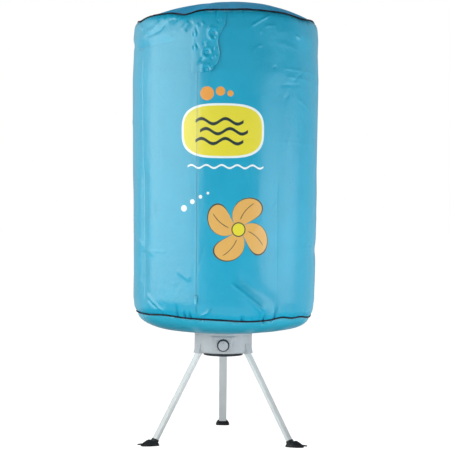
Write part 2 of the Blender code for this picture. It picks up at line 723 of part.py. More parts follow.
def fan():
    top = DUCT_TOP
    bottom = top - MOTOR_HEIGHT
    motor = part("fan_motor", rod("fan_motor", MOTOR_RADIUS, bottom, top, ROUND_SIDES), MOTOR_METAL)
    bevel(motor, HOUSING_WALL / 2)
    shaft_top = bottom + MOTOR_HEIGHT / 2
    bore = rod("motor_bore", SHAFT_RADIUS + FIT_GAP, bottom - CUT_OVERRUN, shaft_top)
    cut(motor, cutter("motor_bore", bore))
    axis = empty("fan_axis", (0, 0, FAN_HEIGHT))
    hub_low = -FAN_HUB_HEIGHT / 2
    shaft = rod("fan_shaft", SHAFT_RADIUS, 0, shaft_top - FIT_GAP - FAN_HEIGHT)
    part("fan_shaft", shaft, STEEL, axis)
    wheel = rod("fan_impeller", FAN_HUB_RADIUS, hub_low, -hub_low / 2, ROUND_SIDES)
    impeller = part("fan_impeller", wheel, WHITE_PLASTIC, axis)
    for i in range(FAN_BLADES):
        start = FAN_HUB_RADIUS - FAN_BLADE_THICKNESS
        half = FAN_BLADE_CHORD / 2
        blade = box(
            "blade",
            (start, -half, -FAN_BLADE_THICKNESS / 2),
            (FAN_RADIUS - FAN_BLADE_THICKNESS, half, FAN_BLADE_THICKNESS / 2),
        )
        for vertex in blade.vertices:
            at_root = vertex.co.x < FAN_RADIUS / 2
            pitch = FAN_ROOT_PITCH if at_root else FAN_BLADE_PITCH
            across = vertex.co.y * (FAN_ROOT_CHORD / FAN_BLADE_CHORD if at_root else 1)
            height = vertex.co.z
            vertex.co.y = across * math.cos(pitch) - height * math.sin(pitch)
            vertex.co.z = across * math.sin(pitch) + height * math.cos(pitch) + hub_low / 4
        join(impeller, cutter("blade_" + str(i), blade, axis, turn=(0, 0, 2 * math.pi * i / FAN_BLADES)))
    hub_bore = rod("hub_bore", SHAFT_RADIUS + FIT_GAP, -FIT_GAP, FAN_HUB_HEIGHT)
    cut(impeller, cutter("hub_bore", hub_bore, axis))


def heater():
    """A plate in the lower shell's rebate, with a window under the finned heating element."""
    height = HOUSING_SPLIT - FRAME_THICKNESS / 2
    window_x = HEATER_LENGTH / 2 - HEATER_SPINE
    window_y = HEATER_DEPTH / 2 - HEATER_SPINE
    window = [(-window_x, -window_y), (window_x, -window_y), (window_x, window_y), (-window_x, window_y)]
    plate = flat_outline("heater_frame", [circle(REBATE_RADIUS - FIT_GAP, FINE_SIDES), window], FRAME_THICKNESS)
    part("heater_frame", plate, STEEL, place=(0, 0, height))

    top = height + FRAME_THICKNESS / 2 + FIT_GAP
    pitch = HEATER_LENGTH / HEATER_FINS
    spine = HEATER_SPINE / 2
    fin_tip = spine + HEATER_FIN_DEPTH
    upper = []
    for i in range(HEATER_FINS):
        left = -HEATER_LENGTH / 2 + pitch * i
        upper += [(left, spine), (left, fin_tip), (left + pitch / 2, fin_tip), (left + pitch / 2, spine)]
    lower = [(x, -y) for x, y in reversed(upper)]
    fins = flat_outline("heating_element", [upper + lower], HEATER_HEIGHT)
    part("heating_element", fins, HEATER_METAL, place=(0, 0, top + HEATER_HEIGHT / 2))

    side = HEATER_DEPTH / 2 + CUTOUT_RADIUS
    cutout = rod("thermal_cutout", CUTOUT_RADIUS, top, top + CUTOUT_HEIGHT)
    part("thermal_cutout", cutout, DARK_PLASTIC, place=(0, side, 0))


def cable_gland():
    """The cable inlet in the shell's back: a flanged bush with a shallow mouth where the cable would leave."""
    seat = HOUSING_RADIUS + FIT_GAP
    end = seat + GLAND_LENGTH
    inside = HOUSING_RADIUS - HOUSING_WALL - GLAND_FLANGE
    outline = [
        (0, end - GLAND_MOUTH_DEPTH),
        (GLAND_MOUTH_RADIUS, end - GLAND_MOUTH_DEPTH),
        (GLAND_MOUTH_RADIUS, end),
        (GLAND_RADIUS, end),
        (GLAND_FLANGE_RADIUS, seat + GLAND_FLANGE),
        (GLAND_FLANGE_RADIUS, seat),
        (GLAND_RADIUS, seat),
        (GLAND_RADIUS, inside),
        (0, inside),
    ]
    turn = (0, math.pi / 2, outward_turn(GLAND_AZIMUTH)[2])
    bush = turned("cable_gland", outline, closed=False)
    screwed(part("cable_gland", bush, DARK_PLASTIC, None, (0, 0, GLAND_HEIGHT), turn), SMALL_SIDES)


# Legs


def leg(name, azimuth):
    place = direction(azimuth) * LEG_PIVOT_RADIUS + Vector((0, 0, LEG_PIVOT_HEIGHT))
    pivot = empty("leg_pivot_" + name, place, outward_turn(azimuth))
    slope = empty("leg_slope_" + name, turn=(0, -LEG_SPLAY, 0), parent=pivot)
    length = (LEG_PIVOT_HEIGHT - LEG_END_ABOVE_FLOOR) / math.cos(LEG_SPLAY)

    half = LEG_WIDTH / 2 + POCKET_GAP
    outer_half = half + POCKET_CHEEK
    head_start = outer_half + FIT_GAP
    head_end = head_start + PIN_HEAD
    outline = [(0, head_end), (PIN_HEAD_RADIUS, head_end), (PIN_HEAD_RADIUS, head_start)]
    outline += [(PIN_RADIUS, head_start), (PIN_RADIUS, -outer_half), (0, -outer_half)]
    pin_mesh = turned("hinge_pin", outline, closed=False)
    screwed(part("hinge_pin_" + name, pin_mesh, STEEL, pivot, turn=SIDEWAYS), SMALL_SIDES)

    tube = part("leg_tube_" + name, leg_section(LEG_TUBE_START, length, 0.0), ALUMINIUM, slope)
    hollow = leg_section(LEG_TUBE_START - CUT_OVERRUN, length + CUT_OVERRUN, LEG_WALL)
    cut(tube, cutter("leg_hollow_" + name, hollow, slope))

    block = part("leg_pivot_block_" + name, pivot_block(), FOOT_BLACK, slope)
    tenon = leg_section(LEG_TUBE_START - CUT_OVERRUN, LEG_TUBE_START + LEG_TENON, LEG_WALL + FIT_GAP)
    join(block, cutter("leg_tenon_" + name, tenon, slope))
    bore = rod("block_bore", PIN_RADIUS + FIT_GAP, -LEG_WIDTH, LEG_WIDTH, axis="Y")
    cut(block, cutter("block_bore_" + name, bore, slope))
    foot(name, pivot, slope, length)


def leg_section(start, end, inset):
    """A rounded rectangular bar along -Z."""
    half_depth = LEG_DEPTH / 2 - inset
    half_width = LEG_WIDTH / 2 - inset
    radius = max(LEG_CORNER - inset, LEG_LEAST_CORNER)
    points = []
    for x, y, angle in ((1, 1, 0), (-1, 1, 1), (-1, -1, 2), (1, -1, 3)):
        centre = (x * (half_depth - radius), y * (half_width - radius))
        points += circle(radius, LEG_CORNER_SIDES, centre, angle * math.pi / 2, math.pi / 2)
    mesh = flat_outline("leg_section", [points], end - start)
    for vertex in mesh.vertices:
        vertex.co.z -= (start + end) / 2
    return mesh


def pivot_block():
    """The plug in the top of the tube, rounded about the pin."""
    half = LEG_DEPTH / 2
    points = circle(half, SMALL_SIDES // 2, start=0, sweep=math.pi)
    points += [(-half, FIT_GAP - LEG_TUBE_START), (half, FIT_GAP - LEG_TUBE_START)]
    mesh = flat_outline("leg_pivot_block", [points], LEG_WIDTH)
    for vertex in mesh.vertices:
        x, y, z = vertex.co
        vertex.co = (x, -z, y)
    return mesh


def foot(name, pivot, slope, length):
    """A shoe on the floor, broad at its heel and narrow at its toe, with a toe tab and a slanted hole for the tube."""
    floor = -LEG_PIVOT_HEIGHT
    end = LEG_END_ABOVE_FLOOR - LEG_PIVOT_HEIGHT
    heel = FOOT_OUTSET - end * math.tan(LEG_SPLAY) - FOOT_LENGTH / 2
    shape = bmesh.new()
    rings = []
    for along, wide, height, narrow in FOOT_SECTIONS:
        x = heel + along * FOOT_LENGTH
        half = wide * FOOT_WIDTH / 2
        top_half = half * narrow
        shoulder = top_half + (half - top_half) * FOOT_SHOULDER_SHARE
        sides = (
            (half, 0),
            (half, height * FOOT_EDGE_SHARE),
            (shoulder, height * FOOT_SHOULDER_SHARE),
            (top_half, height),
        )
        ring = [(y, z) for y, z in sides] + [(-y, z) for y, z in reversed(sides)]
        rings.append([shape.verts.new((x, y, floor + z)) for y, z in ring])
    for first, second in zip(rings, rings[1:]):
        count = len(first)
        for i in range(count):
            shape.faces.new((first[i], second[i], second[(i + 1) % count], first[(i + 1) % count]))
    shape.faces.new(rings[0])
    shape.faces.new(reversed(rings[-1]))
    bmesh.ops.recalc_face_normals(shape, faces=shape.faces)
    shoe = part("foot_" + name, mesh_of("foot", shape), FOOT_BLACK, pivot)
    toe = heel + FOOT_LENGTH
    tab = box(
        "toe_tab",
        (toe - TAB_BURIED, -TAB_WIDTH / 2, floor + TAB_HEIGHT - TAB_THICKNESS / 2),
        (toe + TAB_LENGTH, TAB_WIDTH / 2, floor + TAB_HEIGHT + TAB_THICKNESS / 2),
    )
    join(shoe, cutter("toe_tab_" + name, tab, pivot))
    socket = leg_section(length / 2, length + FIT_GAP, -FIT_GAP)
    cut(shoe, cutter("foot_socket_" + name, socket, slope))


# Pole and racks

POLE_FOOT = HOUSING_TOP + FIT_GAP + SOCKET_FLOOR + FIT_GAP
HUB_SEAT = UPPER_RACK_HEIGHT + HUB_HEIGHT / 2 - HUB_ROOF
POLE_PITCH = (HUB_SEAT - FIT_GAP - POLE_FOOT + FIT_GAP + COUPLER_COLLAR) / POLE_SECTIONS
LOWER_RACK_HEIGHT = POLE_FOOT + POLE_PITCH + FIT_GAP + HUB_HEIGHT / 2


def pole():
    bore = POLE_RADIUS + FIT_GAP
    low = HOUSING_TOP + FIT_GAP
    top = low + SOCKET_HEIGHT
    outline = [
        (0, low + SOCKET_FLOOR),
        (bore, low + SOCKET_FLOOR),
        (bore, top),
        (SOCKET_RADIUS, top),
        (SOCKET_RADIUS, low + SOCKET_FLANGE),
        (SOCKET_FLANGE_RADIUS, low + SOCKET_FLANGE),
        (SOCKET_FLANGE_RADIUS, low),
        (0, low),
    ]
    socket = part("pole_socket", turned("pole_socket", outline, closed=False), DARK_PLASTIC)
    screwed(socket, ROUND_SIDES)

    names = ("lower_pole", "middle_pole", "upper_pole")
    for i, name in enumerate(names):
        start = POLE_FOOT + POLE_PITCH * i
        end = start + POLE_PITCH - COUPLER_COLLAR - FIT_GAP
        tube = part(name, rod(name, POLE_RADIUS, start, end, ROUND_SIDES), ALUMINIUM)
        hole = rod("pole_bore", POLE_RADIUS - POLE_WALL, start - CUT_OVERRUN, end + CUT_OVERRUN, ROUND_SIDES)
        cut(tube, cutter("pole_bore_" + name, hole))

    spigot = POLE_RADIUS - POLE_WALL - FIT_GAP
    for i, name in enumerate(("lower_coupler", "upper_coupler")):
        collar_top = POLE_FOOT + POLE_PITCH * (i + 1) - FIT_GAP
        collar_low = collar_top - COUPLER_COLLAR + FIT_GAP
        plug = rod(name, spigot, collar_low - COUPLER_SPIGOT, collar_top + COUPLER_SPIGOT, ROUND_SIDES)
        coupler = part(name, plug, DARK_PLASTIC)
        radius = COUPLER_COLLAR_RADIUS if i == 0 else POLE_RADIUS
        collar = rod("collar", radius, collar_low, collar_top, ROUND_SIDES)
        join(coupler, cutter("collar_" + name, collar))


def rack(name, height, on_pole_end):
    """A round hub with a slot for each arm, and its arms. Its bore goes through, or takes the pole's end."""
    body = rod(name + "_rack_hub", HUB_RADIUS, -HUB_HEIGHT / 2, HUB_HEIGHT / 2, ROUND_SIDES)
    hub = part(name + "_rack_hub", body, RACK_PLASTIC, place=(0, 0, height))
    roof = HUB_HEIGHT / 2 - HUB_ROOF
    bore_top = roof if on_pole_end else HUB_HEIGHT / 2 + CUT_OVERRUN
    bore = rod("hub_bore", POLE_RADIUS + FIT_GAP, -HUB_HEIGHT / 2 - CUT_OVERRUN, bore_top, ROUND_SIDES)
    cut(hub, cutter(name + "_hub_bore", bore, hub))
    if on_pole_end:
        post_hole = rod("post_hole", POST_RADIUS - FIT_GAP, roof - CUT_OVERRUN, HUB_HEIGHT, ROUND_SIDES)
        cut(hub, cutter(name + "_post_hole", post_hole, hub))
    slot_half = ARM_WIDTH / 2 + FIT_GAP
    slot_start = HUB_PIVOT_RADIUS - ARM_HEIGHT / 2 - FIT_GAP
    pivot_height = roof - FIT_GAP - ARM_HEIGHT / 2
    for i in range(RACK_ARMS):
        azimuth = 360.0 * (i + 0.5) / RACK_ARMS
        turn = outward_turn(azimuth)
        slot = box(
            "slot",
            (slot_start, -slot_half, -HUB_HEIGHT / 2 - CUT_OVERRUN),
            (HUB_RADIUS + CUT_OVERRUN, slot_half, roof),
        )
        cut(hub, cutter(name + "_slot_" + str(i + 1), slot, hub, turn=turn))
        reach = slot_half + ARM_PIN_REACH
        drill = rod("arm_pin_hole", ARM_PIN_RADIUS + FIT_GAP, -reach, reach, SMALL_SIDES // 2, axis="Y")
        pivot = (HUB_PIVOT_RADIUS * direction(azimuth)) + Vector((0, 0, pivot_height))
        cut(hub, cutter(name + "_pin_hole_" + str(i + 1), drill, hub, pivot, turn))
        arm(name, i, height + pivot_height, azimuth)


def arm_outline():
    """Side view of an arm in (outward, up) from its pivot, with low stops along its top."""
    half = ARM_HEIGHT / 2
    length = ARM_TIP_RADIUS - HUB_PIVOT_RADIUS
    low_tip = half - ARM_TIP_HEIGHT
    points = circle(half, SMALL_SIDES // 2, start=math.pi / 2, sweep=math.pi)
    points += [(length, low_tip), (length, half + ARM_TIP_RISE)]
    points += [(length - ARM_STOP_LENGTH, half + ARM_TIP_RISE), (length - 2 * ARM_STOP_LENGTH, half)]
    first = HUB_RADIUS
    pitch = (length - first) / (ARM_STOPS + 1)
    for i in reversed(range(ARM_STOPS)):
        middle = first + pitch * (i + 1)
        points.append((middle + ARM_STOP_LENGTH / 2, half))
        points.append((middle, half + ARM_STOP_RISE))
        points.append((middle - ARM_STOP_LENGTH / 2, half))
    return points


def arm(rack_name, index, height, azimuth):
    label = rack_name + "_rack_arm_" + str(index + 1)
    place = direction(azimuth) * HUB_PIVOT_RADIUS + Vector((0, 0, height))
    pivot = empty(label + "_pivot", place, outward_turn(azimuth))
    bar = part(label, flat_outline(label, [arm_outline()], ARM_WIDTH), RACK_PLASTIC, pivot, turn=STANDING)
    reach = ARM_WIDTH / 2 + ARM_PIN_REACH
    pin = rod("arm_pin", ARM_PIN_RADIUS, -reach, reach, SMALL_SIDES // 2, axis="Y")
    join(bar, cutter(label + "_pin", pin, pivot))


def top_post():
    """A post on the upper hub, with a round cap that holds up the middle of the cover."""
    low = UPPER_RACK_HEIGHT + HUB_HEIGHT / 2 + FIT_GAP
    top = TOP_SEAM_HEIGHT + DOME_RISE - CLOTH - CLOTH_GAP
    edge = top - POST_CAP_EDGE
    spigot = POST_RADIUS - 2 * FIT_GAP
    outline = [
        (0, top),
        (POST_CAP_RADIUS / 2, top - POST_CAP_EDGE / 4),
        (POST_CAP_RADIUS, edge),
        (POST_CAP_RADIUS, edge - POST_CAP_EDGE),
        (POST_RADIUS, edge - 2 * POST_CAP_EDGE),
        (POST_RADIUS, low),
        (spigot, low),
        (spigot, HUB_SEAT + FIT_GAP),
        (0, HUB_SEAT + FIT_GAP),
    ]
    screwed(part("top_post", turned("top_post", outline, closed=False), RACK_PLASTIC), ROUND_SIDES)


# Cloth cover


def bump(azimuth, centre, half_width):
    """1 at the centre, and falling to almost nothing two half widths away, all round the circle."""
    away = (azimuth - centre + 180.0) % 360.0 - 180.0
    return math.exp(-((away / half_width) ** 2))


def seam_height(azimuth, middle, dips):
    drop = sum(share * bump(azimuth, centre, half) for centre, half, share in dips)
    return middle - drop * COVER_RADIUS


def top_seam(azimuth):
    return seam_height(azimuth, TOP_SEAM_HEIGHT, TOP_DIP_SHARES)


def bottom_seam(azimuth):
    tilt = BOTTOM_SEAM_TILT * math.sin(math.radians(azimuth))
    return seam_height(azimuth, BOTTOM_SEAM_HEIGHT, BOTTOM_DIP_SHARES) - tilt


def cover_point(radius, azimuth, height):
    return direction(azimuth) * radius + Vector((0, 0, height))


def calm(azimuth):
    """0 round the zip and the flap, where the wall stays smooth, and 1 away from them."""
    away = (azimuth + 180.0) % 360.0 - 180.0
    outside = max(WALL_SMOOTH_FROM - away, away - WALL_SMOOTH_TO, 0.0)
    return min(outside / WALL_SMOOTH_FADE, 1.0)


def fold_depth(azimuth, share):
    """How far the wall is drawn in at an azimuth and a share of its height."""
    total = 0.0
    height = TOP_SEAM_HEIGHT - BOTTOM_SEAM_HEIGHT
    arc = math.radians(1.0) * COVER_RADIUS
    for start_az, start_share, end_az, end_share, half, depth in FOLD_SHARES:
        line = Vector(((end_az - start_az) * arc, (end_share - start_share) * height))
        away = (azimuth - start_az + 180.0) % 360.0 - 180.0
        point = Vector((away * arc, (share - start_share) * height))
        along = min(max(point.dot(line) / line.length_squared, 0.0), 1.0)
        gap = (point - line * along).length / (half * COVER_RADIUS)
        total += depth * COVER_RADIUS * math.exp(-gap * gap)
    return total * calm(azimuth)


def wall_rows():
    """Heights of the wall's rows, from the bottom seam to the top one, on a seam that runs level."""
    rise = PIPING_RADIUS + CLOTH_GAP
    low = BOTTOM_SEAM_HEIGHT + rise
    return [low + (TOP_SEAM_HEIGHT - rise - low) * share for share, _ in WALL_ROW_SHARES]


def wall_radius(height):
    """Outer radius of the wall at a height, between the two rows beside it."""
    rows = wall_rows()
    for i in range(len(rows) - 1):
        if height <= rows[i + 1]:
            part_way = max((height - rows[i]) / (rows[i + 1] - rows[i]), 0.0)
            low, high = WALL_ROW_SHARES[i][1], WALL_ROW_SHARES[i + 1][1]
            return COVER_RADIUS * (low + (high - low) * part_way)
    return COVER_RADIUS * WALL_ROW_SHARES[-1][1]


def sewn_height(height, azimuth):
    """A height on the wall, moved with the dips of the seam that is nearer."""
    share = (height - BOTTOM_SEAM_HEIGHT) / (TOP_SEAM_HEIGHT - BOTTOM_SEAM_HEIGHT)
    near_top = max(2 * share - 1, 0.0) ** 2
    near_bottom = max(1 - 2 * share, 0.0) ** 2
    top_move = top_seam(azimuth) - TOP_SEAM_HEIGHT
    bottom_move = bottom_seam(azimuth) - BOTTOM_SEAM_HEIGHT
    return height + near_top * top_move + near_bottom * bottom_move


def swept(outline, azimuths, place, closed):
    """A sheet: an outline of points spun round the axis, each point then placed by its row and its azimuth."""
    shape = bmesh.new()
    grid = []
    for azimuth in azimuths:
        grid.append([shape.verts.new(place(row, azimuth)) for row in outline])
    pairs = list(zip(grid, grid[1:] + grid[:1])) if closed else list(zip(grid, grid[1:]))
    for left, right in pairs:
        for i in range(len(outline) - 1):
            shape.faces.new((left[i], right[i], right[i + 1], left[i + 1]))
    return shape


def cloth(name, shape):
    """A sheet of cloth that thickens inwards from its outer face."""
    sheet = part(name, mesh_of(name, shape, CLOTH_SMOOTH_BELOW), COVER_BLUE)
    step = sheet.modifiers.new("cloth", "SOLIDIFY")
    step.thickness = CLOTH
    step.offset = -1
    step.use_even_offset = True
    return sheet


def cover_azimuths():
    """The azimuths of the columns, from one edge of the zip slot round to the other."""
    half = math.degrees(ZIP_SLOT / 2 / COVER_RADIUS)
    first = ZIP_AZIMUTH + half
    sweep = 360.0 - 2 * half
    return [first + sweep * i / COVER_STEPS for i in range(COVER_STEPS + 1)]


def slot_azimuth(azimuth, radius):
    """The azimuth of a column at a radius: the two that edge the slot keep its width where the wall narrows."""
    away = (azimuth - ZIP_AZIMUTH + 180.0) % 360.0 - 180.0
    half = math.degrees(math.asin(ZIP_SLOT / 2 / radius))
    return ZIP_AZIMUTH + math.copysign(half, away) if abs(away) < half else azimuth


def cover_wall():
    rows = wall_rows()

    def place(height, azimuth):
        share = (height - BOTTOM_SEAM_HEIGHT) / (TOP_SEAM_HEIGHT - BOTTOM_SEAM_HEIGHT)
        from_seam = min(share, 1 - share) / FOLD_FADE_SHARE
        radius = wall_radius(height) - fold_depth(azimuth, share) * min(from_seam, 1.0)
        return cover_point(radius, slot_azimuth(azimuth, radius - CLOTH), sewn_height(height, azimuth))

    cloth("cover_wall", swept(rows, cover_azimuths(), place, closed=False))


def cover_top():
    edge = TOP_SEAM_RADIUS - PIPING_RADIUS - CLOTH_GAP
    rings = [edge * share for share in DOME_RING_SHARES]

    def place(radius, azimuth):
        share = radius / edge
        lean = DOME_LEAN * radius * math.sin(math.radians(azimuth))
        rise = (DOME_RISE + lean) * (1 - share**DOME_FULLNESS)
        pucker = math.cos(math.radians(azimuth * DOME_PUCKERS)) * share**4 * (1 - share**8)
        seam_move = (top_seam(azimuth) - TOP_SEAM_HEIGHT) * share**3
        height = TOP_SEAM_HEIGHT + rise + seam_move - COVER_RADIUS * DOME_PUCKER_SHARE * pucker
        return cover_point(radius, azimuth, height)

    shape = swept(rings, cover_azimuths(), place, closed=True)
    apex = shape.verts.new(cover_point(0.0, 0.0, TOP_SEAM_HEIGHT + DOME_RISE))
    border = [edge for edge in shape.edges if edge.is_boundary and edge.verts[0].co.z > apex.co.z - DOME_RISE / 8]
    for side in border:
        shape.faces.new((*side.verts, apex))
    bmesh.ops.recalc_face_normals(shape, faces=shape.faces)
    if max(shape.faces, key=lambda face: face.calc_center_median().z).normal.z < 0:
        bmesh.ops.reverse_faces(shape, faces=shape.faces)
    cloth("cover_top", shape)


def cover_bottom():
    """The belly under the racks: it turns in from the seam, sags, and ends in a cuff round the upper housing."""
    edge = BOTTOM_SEAM_RADIUS - PIPING_RADIUS - CLOTH_GAP
    cuff = HOUSING_RADIUS + CUFF_GAP
    low = BOTTOM_SEAM_HEIGHT - BELLY_DROP
    rows = []
    for i in range(BELLY_STEPS + 1):
        angle = math.pi / 2 * i / BELLY_STEPS
        spread = BELLY_RADIUS + (edge - BELLY_RADIUS) * math.cos(angle)
        rows.append((spread, BOTTOM_SEAM_HEIGHT - BELLY_DROP * math.sin(angle)))
    rows += [((BELLY_RADIUS + cuff) / 2, low), (cuff, low), (cuff, low + CUFF_HEIGHT)]

    def place(row, azimuth):
        radius, height = row
        near = max((radius - BELLY_RADIUS) / (edge - BELLY_RADIUS), 0.0)
        return cover_point(radius, azimuth, height + (bottom_seam(azimuth) - BOTTOM_SEAM_HEIGHT) * near**2)

    shape = swept(rows, cover_azimuths(), place, closed=True)
    bmesh.ops.reverse_faces(shape, faces=shape.faces)
    cloth("cover_bottom", shape)


def piping(name, radius, seam):
    """The black cord sewn into a seam, a closed ring that follows its dips."""
    curve = bpy.data.curves.new(name, "CURVE")
    curve.dimensions = "3D"
    curve.bevel_depth = PIPING_RADIUS
    curve.bevel_resolution = 1
    azimuths = cover_azimuths()
    spline = curve.splines.new("POLY")
    spline.points.add(len(azimuths) - 1)
    for point, azimuth in zip(spline.points, azimuths):
        point.co = (*cover_point(radius, azimuth, seam(azimuth)), 1)
    spline.use_cyclic_u = True
    ring = bpy.data.objects.new(name, curve)
    curve.materials.append(PIPING_BLACK)
    DRYER.objects.link(ring)


# Zip and door flap


def zip_tape():
    """The narrow strip that fills the wall's slot, from seam to seam."""
    rows = wall_rows()
    flat = math.cos(ZIP_SLOT / 2 / COVER_RADIUS)
    outer = [(wall_radius(z) * flat - ZIP_TAPE_INSET, sewn_height(z, ZIP_AZIMUTH)) for z in rows]
    inner = [(radius - CLOTH, height) for radius, height in outer]
    width = ZIP_SLOT - 2 * FIT_GAP
    mesh = flat_outline("zip_tape", [outer + inner[::-1]], width)
    turn = (math.pi / 2, 0, outward_turn(ZIP_AZIMUTH)[2])
    part("zip_tape", mesh, ZIP_BLUE, turn=turn)


def zip_slider():
    """The slider, which leans with the tape that it runs on, and its pull tab, which hangs plumb from its lug."""
    travel = SLIDER_TOP_HEIGHT - SLIDER_REST_HEIGHT
    lean = math.atan((wall_radius(SLIDER_TOP_HEIGHT) - wall_radius(SLIDER_REST_HEIGHT)) / travel)
    place = cover_point(wall_radius(SLIDER_REST_HEIGHT), ZIP_AZIMUTH, SLIDER_REST_HEIGHT)
    frame = empty("zip_slider_frame", place, (0, lean, outward_turn(ZIP_AZIMUTH)[2]))
    body = box(
        "zip_slider",
        (FIT_GAP, -SLIDER_WIDTH / 2, -SLIDER_LENGTH / 2),
        (SLIDER_DEPTH, SLIDER_WIDTH / 2, SLIDER_LENGTH / 2),
    )
    slider = part("zip_slider", body, STEEL, frame)
    lug = box(
        "slider_lug",
        (SLIDER_DEPTH / 2, -SLIDER_LUG_WIDTH / 2, 0),
        (SLIDER_DEPTH + SLIDER_LUG_RISE, SLIDER_LUG_WIDTH / 2, SLIDER_LUG_LENGTH),
    )
    join(slider, cutter("slider_lug", lug, frame))
    swing = SLIDER_DEPTH + SLIDER_LUG_RISE / 2
    pivot = empty("zip_pull_pivot", (swing, 0, SLIDER_LUG_LENGTH / 2), (0, -lean, 0), frame)
    half = PULL_WIDTH / 2
    slot = SLIDER_LUG_WIDTH / 2 + FIT_GAP
    fork = PULL_FORK + SLIDER_LUG_LENGTH / 2
    top = PULL_THICKNESS / 2
    tab = [(-half, top), (-half, -PULL_LENGTH), (half, -PULL_LENGTH), (half, top)]
    tab += [(slot, top), (slot, -fork), (-slot, -fork), (-slot, top)]
    mesh = flat_outline("zip_pull", [tab], PULL_THICKNESS)
    for vertex in mesh.vertices:
        x, y, z = vertex.co
        vertex.co = (z, x, y)
    part("zip_pull", mesh, STEEL, pivot)


def flap_edge(share):
    """Azimuth of the flap's free edge at a share of its height."""
    for i in range(len(FLAP_EDGE_SHARES) - 1):
        low, high = FLAP_EDGE_SHARES[i], FLAP_EDGE_SHARES[i + 1]
        if share <= high:
            part_way = (share - low) / (high - low)
            return FLAP_EDGE_AZIMUTHS[i] + (FLAP_EDGE_AZIMUTHS[i + 1] - FLAP_EDGE_AZIMUTHS[i]) * part_way
    return FLAP_EDGE_AZIMUTHS[-1]


def door_flap():
    """The flap over the upper end of the zip: sewn down at its left, with a wavy free edge at its right."""
    rise = FLAP_TOP - FLAP_BOTTOM
    rows = [FLAP_BOTTOM + rise * share for share in FLAP_EDGE_SHARES]
    rows = sorted(rows + [height for height in wall_rows() if FLAP_BOTTOM < height < FLAP_TOP])

    def place(column, height):
        share = (height - FLAP_BOTTOM) / rise
        azimuth = FLAP_LEFT_AZIMUTH + (flap_edge(share) - FLAP_LEFT_AZIMUTH) * column
        radius = wall_radius(height) + FLAP_LIFT + CLOTH
        return cover_point(radius, azimuth, sewn_height(height, azimuth))

    columns = [i / FLAP_COLUMNS for i in range(FLAP_COLUMNS + 1)]
    shape = swept(columns, rows[::-1], place, closed=False)
    cloth("door_flap", shape)


lower_housing()
upper_housing()
outlet_grille()
intake_grille()
timer()
fan_duct()
motor_bridge()
fan()
heater()
cable_gland()
for leg_name, leg_azimuth in zip(LEG_NAMES, LEG_AZIMUTHS):
    leg(leg_name, leg_azimuth)
pole()
rack("upper", UPPER_RACK_HEIGHT, on_pole_end=True)
rack("lower", LOWER_RACK_HEIGHT, on_pole_end=False)
top_post()
cover_wall()
cover_top()
cover_bottom()
piping("top_piping", TOP_SEAM_RADIUS, top_seam)
piping("bottom_piping", BOTTOM_SEAM_RADIUS, bottom_seam)
zip_tape()
zip_slider()
door_flap()
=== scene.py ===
# %% [markdown]
# # Dressing a portable clothes dryer
# The real object is a fan heater on three folding legs, with a pole, two hanger racks and a zipped cloth cover.
# Its hard pieces come from a packed model, which is the frame here. This lesson adds what a photograph shows and
# a plain solid doesn't: thin cloth that folds, seams, a zip, press studs, satin metal and moulded plastic.
# The frame could be traced again by hand, but loading it keeps every piece where its joints expect it.

import json
import math

import bmesh
import bpy
import numpy as np
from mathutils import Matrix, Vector


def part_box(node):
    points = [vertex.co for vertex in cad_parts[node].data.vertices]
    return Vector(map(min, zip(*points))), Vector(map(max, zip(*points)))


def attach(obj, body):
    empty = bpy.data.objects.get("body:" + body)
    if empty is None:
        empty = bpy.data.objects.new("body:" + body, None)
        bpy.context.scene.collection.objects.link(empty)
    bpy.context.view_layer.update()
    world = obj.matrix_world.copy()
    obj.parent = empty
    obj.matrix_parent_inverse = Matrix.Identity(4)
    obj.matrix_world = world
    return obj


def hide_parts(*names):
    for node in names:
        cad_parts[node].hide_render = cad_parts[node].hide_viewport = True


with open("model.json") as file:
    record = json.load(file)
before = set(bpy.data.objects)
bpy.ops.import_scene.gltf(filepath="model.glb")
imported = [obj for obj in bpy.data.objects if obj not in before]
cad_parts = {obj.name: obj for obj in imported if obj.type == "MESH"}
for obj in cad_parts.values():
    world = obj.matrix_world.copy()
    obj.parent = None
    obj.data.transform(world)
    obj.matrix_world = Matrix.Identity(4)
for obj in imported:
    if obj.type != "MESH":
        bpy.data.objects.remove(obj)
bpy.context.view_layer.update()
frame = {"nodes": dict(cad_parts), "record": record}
nodes = frame["nodes"]

# %% [markdown]
# ## The camera
# A product photograph like this one is taken from a few metres away with a long lens, so that the cover's sides
# stay parallel. The camera could be placed by eye, but the object's known height and width give its distance and
# its height. The picture's small tilt is a turn of the camera about its own line of sight.

# %% Camera
PICTURE_SIDE = 450
SENSOR = 36.0
FOCAL_PIXELS = 1250.0
CAMERA_DISTANCE = 4.35
CAMERA_HEIGHT = 0.812
CENTRE_PIXEL = (224.5, 205.0)
CAMERA_ROLL = 0.00908

camera_data = bpy.data.cameras.new("photo_camera")
camera_data.sensor_width = SENSOR
camera_data.lens = FOCAL_PIXELS / PICTURE_SIDE * SENSOR
camera_data.shift_x = (PICTURE_SIDE / 2 - CENTRE_PIXEL[0]) / PICTURE_SIDE
camera_data.shift_y = (CENTRE_PIXEL[1] - PICTURE_SIDE / 2) / PICTURE_SIDE
camera = bpy.data.objects.new("photo_camera", camera_data)
bpy.context.scene.collection.objects.link(camera)
camera.location = (0.0, -CAMERA_DISTANCE, CAMERA_HEIGHT)
camera.rotation_euler = (math.pi / 2, -CAMERA_ROLL, 0.0)
bpy.context.scene.camera = camera
bpy.context.scene.view_settings.view_transform = "Standard"
print("lens:", round(camera_data.lens, 1), "mm")

# %% [markdown]
# ## Arithmetic on sockets
# Most finishes here are sums: a weave plus creases, a stripe inside an ellipse. Each sum could be wired node by
# node, but that hides the idea. One small class wraps a socket, so that `1 - mask` adds its own Math node and the
# finish reads like a formula.


